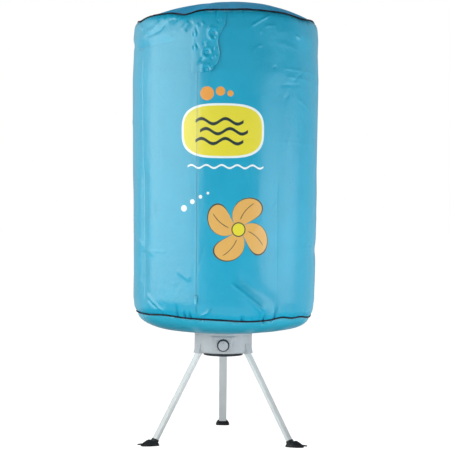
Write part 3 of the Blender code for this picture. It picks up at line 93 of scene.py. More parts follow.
# %% A wire that can be added and multiplied
class Wire:
    """One output socket, with Python's arithmetic."""

    def __init__(self, finish, socket):
        self.finish = finish
        self.socket = socket

    def math(self, operation, *others):
        return self.finish.node("ShaderNodeMath", {"operation": operation}, dict(enumerate((self, *others))))

    def __add__(self, other):
        return self.math("ADD", other)

    def __mul__(self, other):
        return self.math("MULTIPLY", other)

    def __sub__(self, other):
        return self.math("SUBTRACT", other)

    def __rsub__(self, other):
        return self.finish.node("ShaderNodeMath", {"operation": "SUBTRACT"}, {0: other, 1: self})

    def __truediv__(self, other):
        return self.math("DIVIDE", other)

    def __pow__(self, other):
        return self.math("POWER", other)

    def __neg__(self):
        return self * -1.0

    def __abs__(self):
        return self.math("ABSOLUTE")

    __radd__ = __add__
    __rmul__ = __mul__


print("made:", Wire.__doc__)


# %% A node tree that takes formulas
class Wiring:
    """A node tree that formulas are written into."""

    def __init__(self, tree):
        self.tree = tree

    def node(self, kind, settings=None, inputs=None, output=0):
        made = self.tree.nodes.new(kind)
        for key, value in (settings or {}).items():
            setattr(made, key, value)
        for key, value in (inputs or {}).items():
            self.join(value, made.inputs[key])
        return Wire(self, made.outputs[output])

    def join(self, value, socket):
        if isinstance(value, Wire):
            self.tree.links.new(value.socket, socket)
        else:
            socket.default_value = value

    def place(self, output="Object"):
        """The point on the object, in metres, and its three numbers."""
        point = self.node("ShaderNodeTexCoord", output=output)
        parts = self.node("ShaderNodeSeparateXYZ", inputs={0: point})
        return point, *(Wire(self, parts.socket.node.outputs[i]) for i in range(3))

    def noise(self, point, scale, detail=2.0, roughness=0.5, stretch=(1.0, 1.0, 1.0)):
        """Soft noise about 0, from -0.5 to 0.5."""
        moved = self.node("ShaderNodeVectorMath", {"operation": "MULTIPLY"}, {0: point, 1: stretch})
        inputs = {"Vector": moved, "Scale": scale, "Detail": detail, "Roughness": roughness}
        return self.node("ShaderNodeTexNoise", inputs=inputs) - 0.5

    def ramp(self, value, low, high):
        """0 below low, 1 above high and a smooth step between."""
        inputs = {"Value": value, "From Min": low, "From Max": high}
        return self.node("ShaderNodeMapRange", {"interpolation_type": "SMOOTHSTEP"}, inputs)

    def blend(self, factor, first, second):
        """One colour over another, where factor is 1."""
        colours = [(*c, 1.0) if isinstance(c, tuple) else c for c in (first, second)]
        return self.node("ShaderNodeMix", {"data_type": "RGBA"}, {0: factor, 6: colours[0], 7: colours[1]}, output=2)

    def bump(self, height, strength=1.0, over=None):
        """A height in metres as a change of the surface's direction."""
        inputs = {"Height": height, "Distance": 1.0, "Strength": strength}
        if over is not None:
            inputs["Normal"] = over
        return self.node("ShaderNodeBump", inputs=inputs)


print("made:", Wiring.__doc__)


# %% A finish and its colours
class Finish(Wiring):
    """A Principled material, and the nodes that vary it over a surface."""

    def __init__(self, name, colour, roughness, metallic=0.0, **uniform):
        self.material = bpy.data.materials.new(name)
        self.material.use_nodes = True
        super().__init__(self.material.node_tree)
        self.shader = self.tree.nodes["Principled BSDF"]
        settings = {"Base Color": (*colour, 1.0), "Roughness": roughness, "Metallic": metallic, **uniform}
        for socket, value in settings.items():
            self.shader.inputs[socket].default_value = value

    def feed(self, socket, value):
        self.join(value, self.shader.inputs[socket])


def rgb(red, green, blue):
    """A colour written as on a screen, 0 to 255, in the linear numbers that shaders take."""
    shares = [v / 255.0 for v in (red, green, blue)]
    return tuple(s / 12.92 if s <= 0.04045 else ((s + 0.055) / 1.055) ** 2.4 for s in shares)


print("a pale blue is", [round(v, 3) for v in rgb(120, 200, 225)])

# %% [markdown]
# ## White surroundings
# The dryer stands on white in front of white. The white could come from very strong lamps, but those would wash out
# the cloth. So the floor and the world are white only to the camera and, less so, in what shiny surfaces mirror.
# Only the backdrop behind the dryer is mirrored like that: the room in front and above stays dim, which gives the
# cover its darker middle.

# %% Floor and world
FLOOR_SIDE, FLOOR_GLOW, FLOOR_TONE = 60.0, 0.90, 0.80
WORLD_LOW, WORLD_HIGH = 1.0, 0.08
DIM_ROOM = 0.05
# how bright the backdrop is in reflections, what its left side adds, and how much the floor in front loses
BACKDROP_SHINE, LEFT_SHINE, FRONT_LOSS = 0.45, 0.35, 0.85


def white_share(wiring, backdrop, shine=BACKDROP_SHINE):
    """How white a ray finds the surroundings, and whether the ray comes from a reflection."""
    path = wiring.node("ShaderNodeLightPath", output="Is Camera Ray")
    glossy, clear = (Wire(wiring, path.socket.node.outputs[name]) for name in ("Is Glossy Ray", "Is Transmission Ray"))
    return path.math("MAXIMUM", clear).math("MAXIMUM", glossy * backdrop * shine), glossy


world = bpy.data.worlds.new("studio")
bpy.context.scene.world = world
world.use_nodes = True
sky = Wiring(world.node_tree)
plain = world.node_tree.nodes["Background"]
_, across, back, up = sky.place("Generated")
backdrop = sky.ramp(back, -0.1, 0.4) * sky.ramp(-up, -0.62, -0.34)
share, glossy = white_share(sky, backdrop, BACKDROP_SHINE + LEFT_SHINE * sky.ramp(-across, 0.2, 0.8))
room = WORLD_LOW + (WORLD_HIGH - WORLD_LOW) * sky.ramp(up, 0.1, 0.60)
plain.inputs["Color"].default_value = (1.0, 1.0, 1.0, 1.0)
sky.join(share + (1 - share) * (room + glossy * (DIM_ROOM - room)), plain.inputs["Strength"])

floor_mesh = bpy.data.meshes.new("studio_floor")
half = FLOOR_SIDE / 2
floor_mesh.from_pydata([(-half, -half, 0), (half, -half, 0), (half, half, 0), (-half, half, 0)], [], [(0, 1, 2, 3)])
floor = bpy.data.objects.new("studio_floor", floor_mesh)
bpy.context.scene.collection.objects.link(floor)
floor_finish = Finish("studio_floor", (FLOOR_TONE,) * 3, 1.0, **{"Specular IOR Level": 0.0})
_, _, back, _ = floor_finish.place()
backdrop = floor_finish.ramp(back, 0.2, 1.6)
share, glossy = white_share(floor_finish, backdrop)
shade = glossy * (1 - backdrop) * FRONT_LOSS
floor_finish.feed("Base Color", floor_finish.blend(shade, (FLOOR_TONE,) * 3, (0.0, 0.0, 0.0)))
shine = floor_finish.node("ShaderNodeEmission", inputs={"Strength": share * FLOOR_GLOW})
plain_floor = Wire(floor_finish, floor_finish.shader.outputs[0])
surface = floor_finish.node("ShaderNodeAddShader", inputs={0: plain_floor, 1: shine})
floor_finish.join(surface, floor_finish.tree.nodes["Material Output"].inputs["Surface"])
floor_mesh.materials.append(floor_finish.material)
print("floor:", FLOOR_SIDE, "m a side")

# %% [markdown]
# ## Lamps
# Two broad soft lamps stand at the sides, and their mirror images are the two bright bands of the cover. One round
# lamp would light it as well, but only a tall rectangle gives a band with a straight edge. Cards near the floor lift
# the shade under the belly, at the legs and on the right. The cloth would mirror them as odd patches, so reflections
# don't see them. A small lamp above keeps the cap from going grey.

# %% Lamps
# place, the point it faces, width and height, power and colour
LAMPS = {
    "left_softbox": ((-2.97, -1.22, 1.15), (0, 0, 1.05), (4.6, 2.9), 96.0, (1.0, 1.0, 0.95)),
    "right_softbox": ((2.90, -1.15, 0.65), (0, 0, 0.65), (3.0, 1.3), 19.5, (1.0, 1.0, 1.0)),
    "front_card": ((-0.1, -1.40, 0.02), (-0.1, -1.39, 1.0), (2.4, 1.0), 14.0, (1.0, 1.0, 1.0)),
    "leg_card": ((0.0, -1.10, 0.015), (0.0, -0.40, 0.25), (1.6, 0.5), 3.0, (1.0, 1.0, 1.0)),
    "top_softbox": ((0.0, 0.05, 2.30), (0.0, 0.06, 1.0), (0.5, 0.5), 1.9, (1.0, 1.0, 1.0)),
    "right_card": ((1.45, -0.50, 0.02), (1.45, -0.49, 1.0), (1.1, 2.4), 30.0, (1.0, 1.0, 1.0)),
}
for name, (place, target, size, power, tint) in LAMPS.items():
    lamp = bpy.data.lights.new(name, "AREA")
    lamp.shape = "RECTANGLE"
    lamp.size, lamp.size_y = size
    lamp.energy, lamp.color = power, tint
    holder = bpy.data.objects.new(name, lamp)
    holder.location = place
    holder.visible_glossy = not name.endswith("card")
    holder.rotation_euler = (Vector(target) - Vector(place)).to_track_quat("-Z", "Y").to_euler()
    bpy.context.scene.collection.objects.link(holder)
print("lamps:", ", ".join(LAMPS))

# %% [markdown]
# ## The cover's shape
# The cover is a round wall of thin coated nylon between two corded seams, with a domed cap and a belly that is
# gathered round the heater. A simulation could hang it, but the folds in the photograph have known places, so the
# wall is a fine grid over its own unrolled plan. Its radius comes from a few rings, smoothed, and each fold is a
# line on the plan with a width and a depth.

# %% Sizes that the cloth keeps
COVER_RADIUS = 0.3225
TOP_SEAM_RADIUS, TOP_SEAM_HEIGHT = 0.306, 1.4415
BOTTOM_SEAM_RADIUS, BOTTOM_SEAM_HEIGHT = 0.301, 0.4390
BOTTOM_SEAM_TILT = 0.0045
DOME_RISE, DOME_LEAN, DOME_FULLNESS = 0.0665, 0.045, 2.2
BELLY_DROP, BELLY_RADIUS = 0.0565, 0.170
CUFF_RADIUS, CUFF_HEIGHT = 0.1007, 0.014
PIPING_RADIUS = 0.0024
ZIP_AZIMUTH = -16.6
ZIP_HALF = 0.0003
WALL_RISE = 0.0033
WALL_SPAN = TOP_SEAM_HEIGHT - BOTTOM_SEAM_HEIGHT - 2 * WALL_RISE
# metres along the wall for one degree of azimuth
ARC = math.radians(COVER_RADIUS)

# share of the wall's height, share of COVER_RADIUS
WALL_RINGS = (
    (0.0, 0.9352), (0.012, 0.9590), (0.045, 0.9715), (0.200, 0.9774), (0.420, 0.9857), (0.620, 0.9932),
    (0.800, 1.0), (0.893, 0.9895), (0.944, 0.9940), (0.980, 0.9860), (0.993, 0.9760), (1.0, 0.9507),
)
# azimuth, half width in degrees, drop as a share of COVER_RADIUS
TOP_DIPS = (
    (-70.0, 8.0, 0.024), (-26.0, 7.0, 0.030), (-10.0, 12.0, -0.010), (14.0, 14.0, -0.018), (34.0, 12.0, -0.010),
    (55.0, 9.0, 0.018), (98.0, 11.0, 0.020), (117.0, 9.0, -0.010), (138.0, 10.0, 0.022), (160.0, 11.0, -0.012),
    (182.0, 10.0, 0.018), (204.0, 10.0, -0.010), (225.0, 9.0, 0.024), (258.0, 11.0, 0.016),
)
BOTTOM_DIPS = (
    (-40.0, 12.0, -0.016), (15.0, 14.0, 0.014), (40.0, 7.0, -0.022), (58.0, 8.0, -0.012), (75.0, 9.0, 0.010),
    (110.0, 12.0, 0.014), (134.0, 10.0, -0.014), (158.0, 11.0, 0.012), (184.0, 10.0, -0.016), (208.0, 12.0, 0.014),
    (236.0, 10.0, -0.014), (262.0, 10.0, 0.008),
)
print("cover:", round(2 * COVER_RADIUS, 3), "m across")


# %% Seams and the plain wall under the folds
def around(azimuth):
    """An azimuth in degrees, from -180 to 180."""
    return (azimuth + 180.0) % 360.0 - 180.0


def seam_drop(azimuth, dips):
    """How far a seam hangs below its mean height."""
    return COVER_RADIUS * sum(share * np.exp(-((around(azimuth - at) / half) ** 2)) for at, half, share in dips)


def top_seam(azimuth):
    return TOP_SEAM_HEIGHT - seam_drop(azimuth, TOP_DIPS)


def bottom_seam(azimuth):
    return BOTTOM_SEAM_HEIGHT - seam_drop(azimuth, BOTTOM_DIPS) - BOTTOM_SEAM_TILT * np.sin(np.radians(azimuth))


def smooth(value, low, high):
    """0 below low, 1 above high, and a smooth step between."""
    share = np.clip((value - low) / (high - low), 0.0, 1.0)
    return share * share * (3 - 2 * share)


def wall_radius(share):
    """The radius at a share of the wall's height: a mean over nearby shares, but exact at both ends."""
    at, radius = np.array(WALL_RINGS).T
    to_end = np.minimum(share, 1 - share)
    reach = 0.006 + 0.03 * to_end
    spread = np.linspace(-1.0, 1.0, 9)
    total = sum(np.interp(np.clip(share + reach * s, 0, 1), at, radius) for s in spread) / len(spread)
    ends = np.exp(-to_end / 0.004)
    return COVER_RADIUS * (total * (1 - ends) + np.interp(share, at, radius) * ends)


def wall_height(share, azimuth):
    """A share of the wall's height as a height, which dips with the nearer seam."""
    level = BOTTOM_SEAM_HEIGHT + WALL_RISE + share * WALL_SPAN
    by_top = np.clip(2 * share - 1, 0, 1) ** 2 * (top_seam(azimuth) - TOP_SEAM_HEIGHT)
    by_bottom = np.clip(1 - 2 * share, 0, 1) ** 2 * (bottom_seam(azimuth) - BOTTOM_SEAM_HEIGHT)
    return level + by_top + by_bottom


def share_at(height):
    """The share of the wall's height at a height, away from the seams' dips."""
    return (height - BOTTOM_SEAM_HEIGHT - WALL_RISE) / WALL_SPAN


def point_at(radius, azimuth, height):
    """A place round the cover's axis, with azimuth 0 at the front."""
    angle = np.radians(azimuth)
    return np.stack(np.broadcast_arrays(radius * np.sin(angle), -radius * np.cos(angle), height), axis=-1)


print("seam heights in front:", round(float(top_seam(0.0)), 4), round(float(bottom_seam(0.0)), 4))

# %% [markdown]
# ## Folds
# Three sorts of fold show on the real cover. Broad hollows follow where the cloth is slack. Drawn folds are narrow
# ridges and furrows, mostly near a seam. Storage creases are straight and sharp, from the cover being packed flat.
# Noise could place them, but these places are read off the picture. All three are strokes on the unrolled plan,
# so one function draws them, and a table says where each one is.

# %% Hollows, folds and creases
# azimuth and height share of both ends, half width and depth as shares of COVER_RADIUS
HOLLOWS = (
    (-58.7, 0.02, -58.7, 0.55, 0.080, 0.016), (32.5, 0.06, 32.5, 0.90, 0.085, 0.012),
    (-100.0, 0.925, -70.0, 0.920, 0.045, 0.011), (-84.0, 0.900, -30.0, 0.905, 0.060, 0.004),
    (-95.0, 0.05, -95.0, 0.48, 0.200, 0.011), (95.0, 0.04, 95.0, 0.50, 0.220, -0.010),
    (2.0, 0.13, 27.0, 0.02, 0.065, -0.016), (5.0, 0.158, 38.0, 0.028, 0.070, 0.012),
    (48.0, 0.94, 74.0, 0.70, 0.075, 0.004), (70.0, 0.20, 96.0, 0.23, 0.070, 0.011),
    (112.0, 0.05, 112.0, 0.90, 0.080, 0.015),
    (122.0, 0.93, 160.0, 0.78, 0.080, 0.015), (150.0, 0.06, 150.0, 0.70, 0.085, 0.016),
    (172.0, 0.30, 214.0, 0.12, 0.080, 0.014), (196.0, 0.45, 196.0, 0.95, 0.085, 0.015),
    (222.0, 0.90, 258.0, 0.84, 0.075, 0.015), (238.0, 0.05, 238.0, 0.75, 0.080, 0.014),
)
# azimuth and height of each point, half width and depth in metres, a ridge where depth is negative
DRAWN_FOLDS = (
    (((3.4, 0.564), (27.0, 0.459)), 0.0040, -0.0062), (((11.7, 0.523), (24.4, 0.456)), 0.0034, -0.0046),
    (((8.0, 0.5445), (26.0, 0.456)), 0.0050, 0.0030),
    (((-18.1, 0.440), (-9.9, 0.460), (-6.9, 0.477)), 0.0040, -0.0064),
    (((-16.0, 0.439), (-8.5, 0.452)), 0.0050, 0.0028), (((-56.8, 0.519), (-46.0, 0.480)), 0.0055, -0.0028),
    (((-50.2, 0.498), (-41.9, 0.4645), (-36.5, 0.454)), 0.0050, -0.0030),
    (((-55.0, 0.500), (-44.0, 0.465)), 0.0055, 0.0024),
    (
        ((-79.7, 1.345), (-61.5, 1.337), (-54.8, 1.3397), (-43.1, 1.3417), (-36.7, 1.345), (-25.0, 1.3464)),
        0.0032, 0.0014,
    ),
    (((-92.0, 1.376), (-62.0, 1.364), (-40.0, 1.366), (-24.0, 1.370)), 0.0160, -0.0024),
    (((-67.0, 1.335), (-58.0, 1.339)), 0.0034, 0.0024),
    (((-36.7, 1.416), (-42.9, 1.386), (-50.8, 1.374), (-59.7, 1.372)), 0.0080, 0.0026),
    (((-42.5, 1.417), (-49.0, 1.391), (-57.0, 1.384)), 0.0085, -0.0020),
    (((-19.2, 1.404), (-24.3, 1.372)), 0.0044, 0.0020), (((-22.3, 1.408), (-27.2, 1.378)), 0.0075, -0.0020),
    (((-29.5, 1.423), (-36.8, 1.410)), 0.0070, 0.0018), (((-30.9, 1.375), (-33.9, 1.363)), 0.0050, 0.0016),
    (((-68.0, 1.425), (-60.0, 1.395)), 0.0070, -0.0026),
    (((28.1, 1.435), (17.8, 1.403), (13.3, 1.387)), 0.0034, -0.0026),
    (((22.1, 1.3906), (26.4, 1.3974), (31.5, 1.3989)), 0.0030, -0.0016),
    (((20.4, 1.382), (20.4, 1.366)), 0.0028, -0.0014), (((18.5, 1.328), (22.2, 1.330)), 0.0028, -0.0014),
    (((16.6, 1.324), (16.6, 1.305)), 0.0028, -0.0014), (((46.4, 1.374), (51.0, 1.364)), 0.0040, -0.0022),
    (((29.4, 1.267), (30.4, 1.258)), 0.0032, 0.0020), (((33.0, 1.262), (72.0, 1.255)), 0.0050, -0.0009),
    (((36.0, 1.236), (66.0, 1.228)), 0.0045, -0.0008), (((30.0, 1.345), (52.0, 1.325)), 0.0080, -0.0008),
    (((33.0, 1.205), (52.0, 1.212)), 0.0050, 0.0008), (((-30.0, 0.600), (-19.5, 0.563)), 0.0070, -0.0020),
    (((-72.0, 0.700), (-45.0, 0.640)), 0.0090, -0.0022),
)
STORAGE_CREASES = (
    (((-59.7, 1.335), (-58.0, 0.470)), 0.0022, 0.0017), (((33.4, 0.900), (34.0, 0.480)), 0.0022, 0.0011),
    (((-63.0, 0.659), (-37.0, 0.656)), 0.0022, -0.0012), (((41.0, 0.669), (71.0, 0.669)), 0.0022, -0.0012),
    (((-80.0, 0.940), (-22.0, 0.936)), 0.0020, -0.0005), (((26.0, 1.020), (80.0, 1.018)), 0.0020, -0.0005),
    *((((at, 1.380), (at, 0.480)), 0.0022, 0.0010) for at in (80.0, 127.0, 173.0, 219.0, 262.0)),
    (((95.0, 0.668), (250.0, 0.668)), 0.0022, -0.0011), (((95.0, 1.019), (250.0, 1.019)), 0.0022, -0.0009),
)


print("folds:", len(HOLLOWS), "hollows,", len(DRAWN_FOLDS), "drawn,", len(STORAGE_CREASES), "creases")


# %% One stroke on the plan
def stroke(azimuth, height, points, half, depth, sharp=2.0, taper=0.0):
    """The depth of one fold over the plan. A sharp of 2 is a soft hollow, and nearer 1 is a drawn edge."""
    start = points[0][0]
    across = around(azimuth - start) * ARC
    track = np.array([((a - start) * ARC, z) for a, z in points])
    lengths = np.hypot(*np.diff(track, axis=0).T)
    nearest, place = np.inf, 0.0
    for (x, z), (along_x, along_z), length, before in zip(track, np.diff(track, axis=0), lengths, np.cumsum(lengths)):
        share = np.clip(((across - x) * along_x + (height - z) * along_z) / length**2, 0.0, 1.0)
        gap = np.hypot(across - x - share * along_x, height - z - share * along_z)
        closer = gap < nearest
        place = np.where(closer, (before - length + share * length) / lengths.sum(), place)
        nearest = np.where(closer, gap, nearest)
    fade = 1.0 if taper == 0 else smooth(place, 0.0, taper) * smooth(1 - place, 0.0, taper)
    return depth * np.exp(-((nearest / half) ** sharp)) * fade


CALM_LEFT, CALM_RIGHT, CALM_FADE = -21.0, 4.0, 10.0


def calm(azimuth):
    """0 round the zip and the flap, where the wall stays smooth, and 1 away from them."""
    away = around(azimuth)
    return np.clip(np.maximum(CALM_LEFT - away, away - CALM_RIGHT) / CALM_FADE, 0.0, 1.0)


print("calm at the zip:", float(calm(ZIP_AZIMUTH)), "and at the back:", float(calm(180.0)))

# %% [markdown]
# Where a long edge of cloth is sewn to a shorter cord it gathers, and small upright tucks stand beside the seam.
# They could be one regular wave, but real tucks differ in spacing, length and depth. A seeded random table keeps
# them uneven and still the same each time. The same seed scatters faint wrinkles over the rest of the wall.

# %% Tucks at the seams and faint wrinkles
chance = np.random.default_rng(41)
# azimuth and length of the tucks that the picture shows
SEEN_TUCKS = ((-29.6, 0.046), (-24.5, 0.030), (-20.8, 0.030), (11.4, 0.024), (25.6, 0.032), (33.6, 0.060))
SEEN_HALF, SEEN_DEPTH = 0.0038, 0.0115


def tuck_rows(seen=()):
    """Azimuth, length, half width and depth of each tuck beside one seam."""
    rows = [(a, length, SEEN_HALF, SEEN_DEPTH) for a, length in seen]
    azimuth = 0.0
    while azimuth < 355.0:
        azimuth += chance.uniform(3.2, 9.0)
        size = (chance.uniform(0.012, 0.040), chance.uniform(0.0026, 0.0048), chance.uniform(0.0008, 0.0026))
        if all(abs(around(azimuth - a)) > 3.0 for a, _ in seen):
            rows.append((azimuth, *size))
    return rows


def scattered_wrinkles(count):
    """Short faint folds at random places, more of them upright than level."""
    lines = []
    for _ in range(count):
        azimuth, height = chance.uniform(-180, 180), chance.uniform(0.47, 1.40)
        slant = chance.normal(0.0, 0.9) + (math.pi / 2 if chance.random() < 0.62 else 0.0)
        length = chance.uniform(0.03, 0.14)
        end = (azimuth + math.degrees(length * math.cos(slant) / COVER_RADIUS), height + length * math.sin(slant))
        depth = chance.choice((-1.0, 1.0)) * chance.uniform(0.0003, 0.0011)
        lines.append((((azimuth, height), end), chance.uniform(0.0035, 0.0085), depth))
    return lines


BOTTOM_TUCKS, TOP_TUCKS, CAP_TUCKS, BELLY_TUCKS = tuck_rows(SEEN_TUCKS), tuck_rows(), tuck_rows(), tuck_rows()
WRINKLES = scattered_wrinkles(150)
print("tucks:", len(BOTTOM_TUCKS), "below and", len(TOP_TUCKS), "above; wrinkles:", len(WRINKLES))


# %% All folds together, as one depth
def tuck_depth(azimuth, away, rows):
    """The depth of a seam's tucks at a distance away from it."""
    total = 0.0
    for at, length, half, depth in rows:
        share = np.clip(away / length, 0.0, 1.0)
        gap = around(azimuth - at) * ARC / (half * (1 + 0.6 * share))
        total = total + depth * np.exp(-gap * gap) * smooth(1 - share, 0.0, 1.0) * smooth(away, 0.001, 0.006)
    return total


# the folds of each sort, how sharp and how tapered they are, and how much of them stays round the zip
FOLD_SORTS = ((DRAWN_FOLDS, 1.6, 0.22, 1.0), (STORAGE_CREASES, 1.3, 0.06, 0.3), (WRINKLES, 1.7, 0.35, 0.4))


def fold_depth(azimuth, share, height):
    """How far the wall is drawn in at each point of the plan."""
    span = TOP_SEAM_HEIGHT - BOTTOM_SEAM_HEIGHT
    total = np.zeros(np.broadcast(azimuth, share).shape)
    for a, s, b, t, half, depth in HOLLOWS:
        points = ((a, s * span), (b, t * span))
        total += stroke(azimuth, share * span, points, half * COVER_RADIUS, depth * COVER_RADIUS, taper=0.2)
    total *= calm(azimuth)
    for lines, sharp, taper, kept in FOLD_SORTS:
        strength = kept + (1 - kept) * calm(azimuth)
        for line in lines:
            total += stroke(azimuth, height, *line, sharp=sharp, taper=taper) * strength
    total *= np.clip(np.minimum(share, 1 - share) / 0.02, 0.0, 1.0)
    total += tuck_depth(azimuth, height - bottom_seam(azimuth), BOTTOM_TUCKS)
    return total + tuck_depth(azimuth, top_seam(azimuth) - height, TOP_TUCKS)


print("depth at a known fold:", round(float(fold_depth(np.array([27.5]), np.array([0.03]), np.array([0.468]))[0]), 4))

# %% [markdown]
# ## Sheets from grids
# Each piece of the cover is a grid of points that a formula places. A grid could start as a plane that modifiers
# bend, but the formula already knows the seams that neighbours share, so pieces meet exactly. The wall runs once
# round and stops at the zip, where its two hems nearly meet. The left hem stands a little proud and the right one
# lies a little lower, which catches the light as one fine line.


# %% Helpers for every piece
def spaced(start, end, step_at):
    """Places from start to end, as far apart as step_at says, stretched to end exactly."""
    places = [start]
    while places[-1] < end:
        places.append(places[-1] + step_at(places[-1]))
    places = np.array(places)
    return start + (places - start) * (end - start) / (places[-1] - start)


def dress(piece, finish, slot, *node_names, body="base"):
    """Give a piece its material, let it ride on a body and hide the solids it stands for."""
    bpy.context.scene.collection.objects.link(piece)
    piece.data.materials.append(finish.material)
    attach(piece, body)
    if node_names:
        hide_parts(*node_names)
    return piece


def mesh_piece(name, points, faces, soft=True):
    """A new object from points and faces, with soft or flat shading."""
    mesh = bpy.data.meshes.new(name)
    mesh.from_pydata(points.reshape(-1, 3).tolist(), [], faces)
    mesh.polygons.foreach_set("use_smooth", [soft] * len(mesh.polygons))
    mesh.update()
    return bpy.data.objects.new(name, mesh)


print("places 1 apart:", spaced(0.0, 3.0, lambda place: 1.0))


# %% Sheets and cords as grids of points
def grid_piece(name, points, closed=False, flip=False, cap=False):
    """A sheet of columns x rows points. closed joins the last column to the first, and cap fills the last row."""
    columns, rows = points.shape[:2]
    index = np.arange(columns * rows).reshape(columns, rows)
    if closed:
        index = np.vstack([index, index[:1]])
    corners = np.stack([index[:-1, :-1], index[1:, :-1], index[1:, 1:], index[:-1, 1:]], axis=-1).reshape(-1, 4)
    if flip:
        corners = corners[:, ::-1]
    faces = corners.tolist()
    if cap:
        faces.append(index[:-1, -1].tolist())
    return mesh_piece(name, points, faces)


def tube_piece(name, track, radius, sides=8, closed=False):
    """A round cord along a track of points, with a radius for each point."""
    ahead = np.roll(track, -1, axis=0) - np.roll(track, 1, axis=0)
    if not closed:
        ahead[0], ahead[-1] = track[1] - track[0], track[-1] - track[-2]
    ahead /= np.linalg.norm(ahead, axis=1, keepdims=True)
    out = track * (1.0, 1.0, 0.0)
    out -= ahead * np.sum(out * ahead, axis=1, keepdims=True)
    out /= np.linalg.norm(out, axis=1, keepdims=True)
    side = np.cross(ahead, out)
    turns = np.linspace(0.0, 2 * math.pi, sides, endpoint=False)
    ring = out[:, None] * np.cos(turns)[:, None] + side[:, None] * np.sin(turns)[:, None]
    points = track[:, None] + ring * np.broadcast_to(radius, len(track))[:, None, None]
    points = np.concatenate([points, points[:, :1]], axis=1)
    return grid_piece(name, points, closed=closed)


print("made:", grid_piece.__doc__)

# %% The wall
WALL_FINE_STEP, WALL_PLAIN_STEP, FINE_TO = 0.42, 0.80, 96.0
ZIP_REACH = math.degrees(ZIP_HALF / COVER_RADIUS)
HEM_LIFT, HEM_WIDTH = 0.0008, 0.0042


def wall_surface(azimuth, share, edges=1.0):
    """Points of the wall, with its folds and, where edges is 1, its two hems at the zip."""
    height = wall_height(share, azimuth)
    from_zip = around(azimuth - ZIP_AZIMUTH)
    from_edge = (np.abs(from_zip) - ZIP_REACH) * ARC
    hem = np.where(from_zip < 0, HEM_LIFT, -0.5 * HEM_LIFT) * np.exp(-((from_edge / HEM_WIDTH) ** 2)) * edges
    fade = smooth(np.minimum(share, 1 - share), 0.0, 0.02)
    return point_at(wall_radius(share) - fold_depth(azimuth, share, height) + hem * fade, azimuth, height)


wall_columns = spaced(
    ZIP_AZIMUTH + ZIP_REACH,
    ZIP_AZIMUTH - ZIP_REACH + 360.0,
    lambda azimuth: WALL_FINE_STEP if abs(around(azimuth)) < FINE_TO else WALL_PLAIN_STEP,
)
wall_shares = spaced(0.0, 1.0, lambda share: 0.0010 + 0.0028 * min(1.0, min(share, 1 - share) / 0.04 + 0.02))
wall = grid_piece("cover_side_cloth", wall_surface(wall_columns[:, None], wall_shares[None, :]))
print("wall:", len(wall_columns), "columns by", len(wall_shares), "rows")

# %% [markdown]
# ## Cap and belly
# The cap is a disc of cloth that the upper rack's post holds up in the middle, so it is a low dome with gathers at
# its cord. The belly closes the cover below: it turns in from the lower cord, sags a little, and ends in an elastic
# cuff on the heater. A squashed ball could stand for either, but gathers have to run in from a seam. So both are
# rings of points round the axis, drawn in by the same sort of tucks as the wall.

# %% The cap
SEAM_CLEARANCE = 0.0032
CAP_PULL = 0.0035
# the shallow ring that the post's head leaves in the cap: its radius, width and depth
POST_RING, POST_RING_WIDTH, POST_RING_DEPTH = 0.048, 0.010, 0.0012


def radial_folds(count, longest, deepest):
    """Long soft folds that run in from a seam."""
    rows = []
    for i in range(count):
        azimuth = 360.0 * (i + chance.uniform(0.1, 0.9)) / count
        depth = chance.choice((-1.0, 1.0)) * chance.uniform(0.3, 1.0) * deepest
        rows.append((azimuth, chance.uniform(0.4, 1.0) * longest, chance.uniform(0.006, 0.013), depth))
    return rows


CAP_FOLDS, BELLY_FOLDS = radial_folds(30, 0.24, 0.0026), radial_folds(26, 0.13, 0.0020)


def cap_surface(azimuth, radius):
    """Points of the cap: a dome that leans a little, with gathers that fade towards the middle."""
    edge = TOP_SEAM_RADIUS - SEAM_CLEARANCE
    share = radius / edge
    rise = (DOME_RISE + DOME_LEAN * radius * np.sin(np.radians(azimuth))) * (1 - share**DOME_FULLNESS)
    gathers = 0.6 * np.cos(np.radians(azimuth * 12)) + 0.4 * np.cos(np.radians(azimuth * 19 + 40))
    pull = CAP_PULL * gathers * share**4 * (1 - share**8)
    pull = pull + tuck_depth(azimuth, edge - radius, CAP_TUCKS) + tuck_depth(azimuth, edge - radius, CAP_FOLDS)
    post = POST_RING_DEPTH * np.exp(-(((radius - POST_RING) / POST_RING_WIDTH) ** 2))
    seam = (top_seam(azimuth) - TOP_SEAM_HEIGHT) * share**3
    return point_at(radius, azimuth, TOP_SEAM_HEIGHT + rise + seam - pull - post)


ring_columns = np.linspace(-180.0, 180.0, 540, endpoint=False)
cap_rings = np.linspace(TOP_SEAM_RADIUS - SEAM_CLEARANCE, 0.0015, 78)
cap = grid_piece("cover_cap_cloth", cap_surface(ring_columns[:, None], cap_rings[None, :]), closed=True, cap=True)
print("cap:", len(cap.data.polygons), "faces")

# %% The belly
BELLY_EDGE = BOTTOM_SEAM_RADIUS - SEAM_CLEARANCE
# the shares of the way from the seam to the cuff's end that the round turn, the flat part and the cuff take
BELLY_TURN, BELLY_FLAT, BELLY_CUFF = 0.70, 0.20, 0.10
# length of the belly's cloth from its seam to the cuff's end
BELLY_LENGTH = 0.25
# azimuth, length, half width and depth
SEEN_BELLY_TUCKS = (
    (26.2, 0.040, 0.0042, 0.0110), (31.6, 0.026, 0.0038, 0.0085), (-14.0, 0.030, 0.0050, 0.0060),
    (8.0, 0.030, 0.0050, 0.0060), (-64.0, 0.030, 0.0060, 0.0040),
)


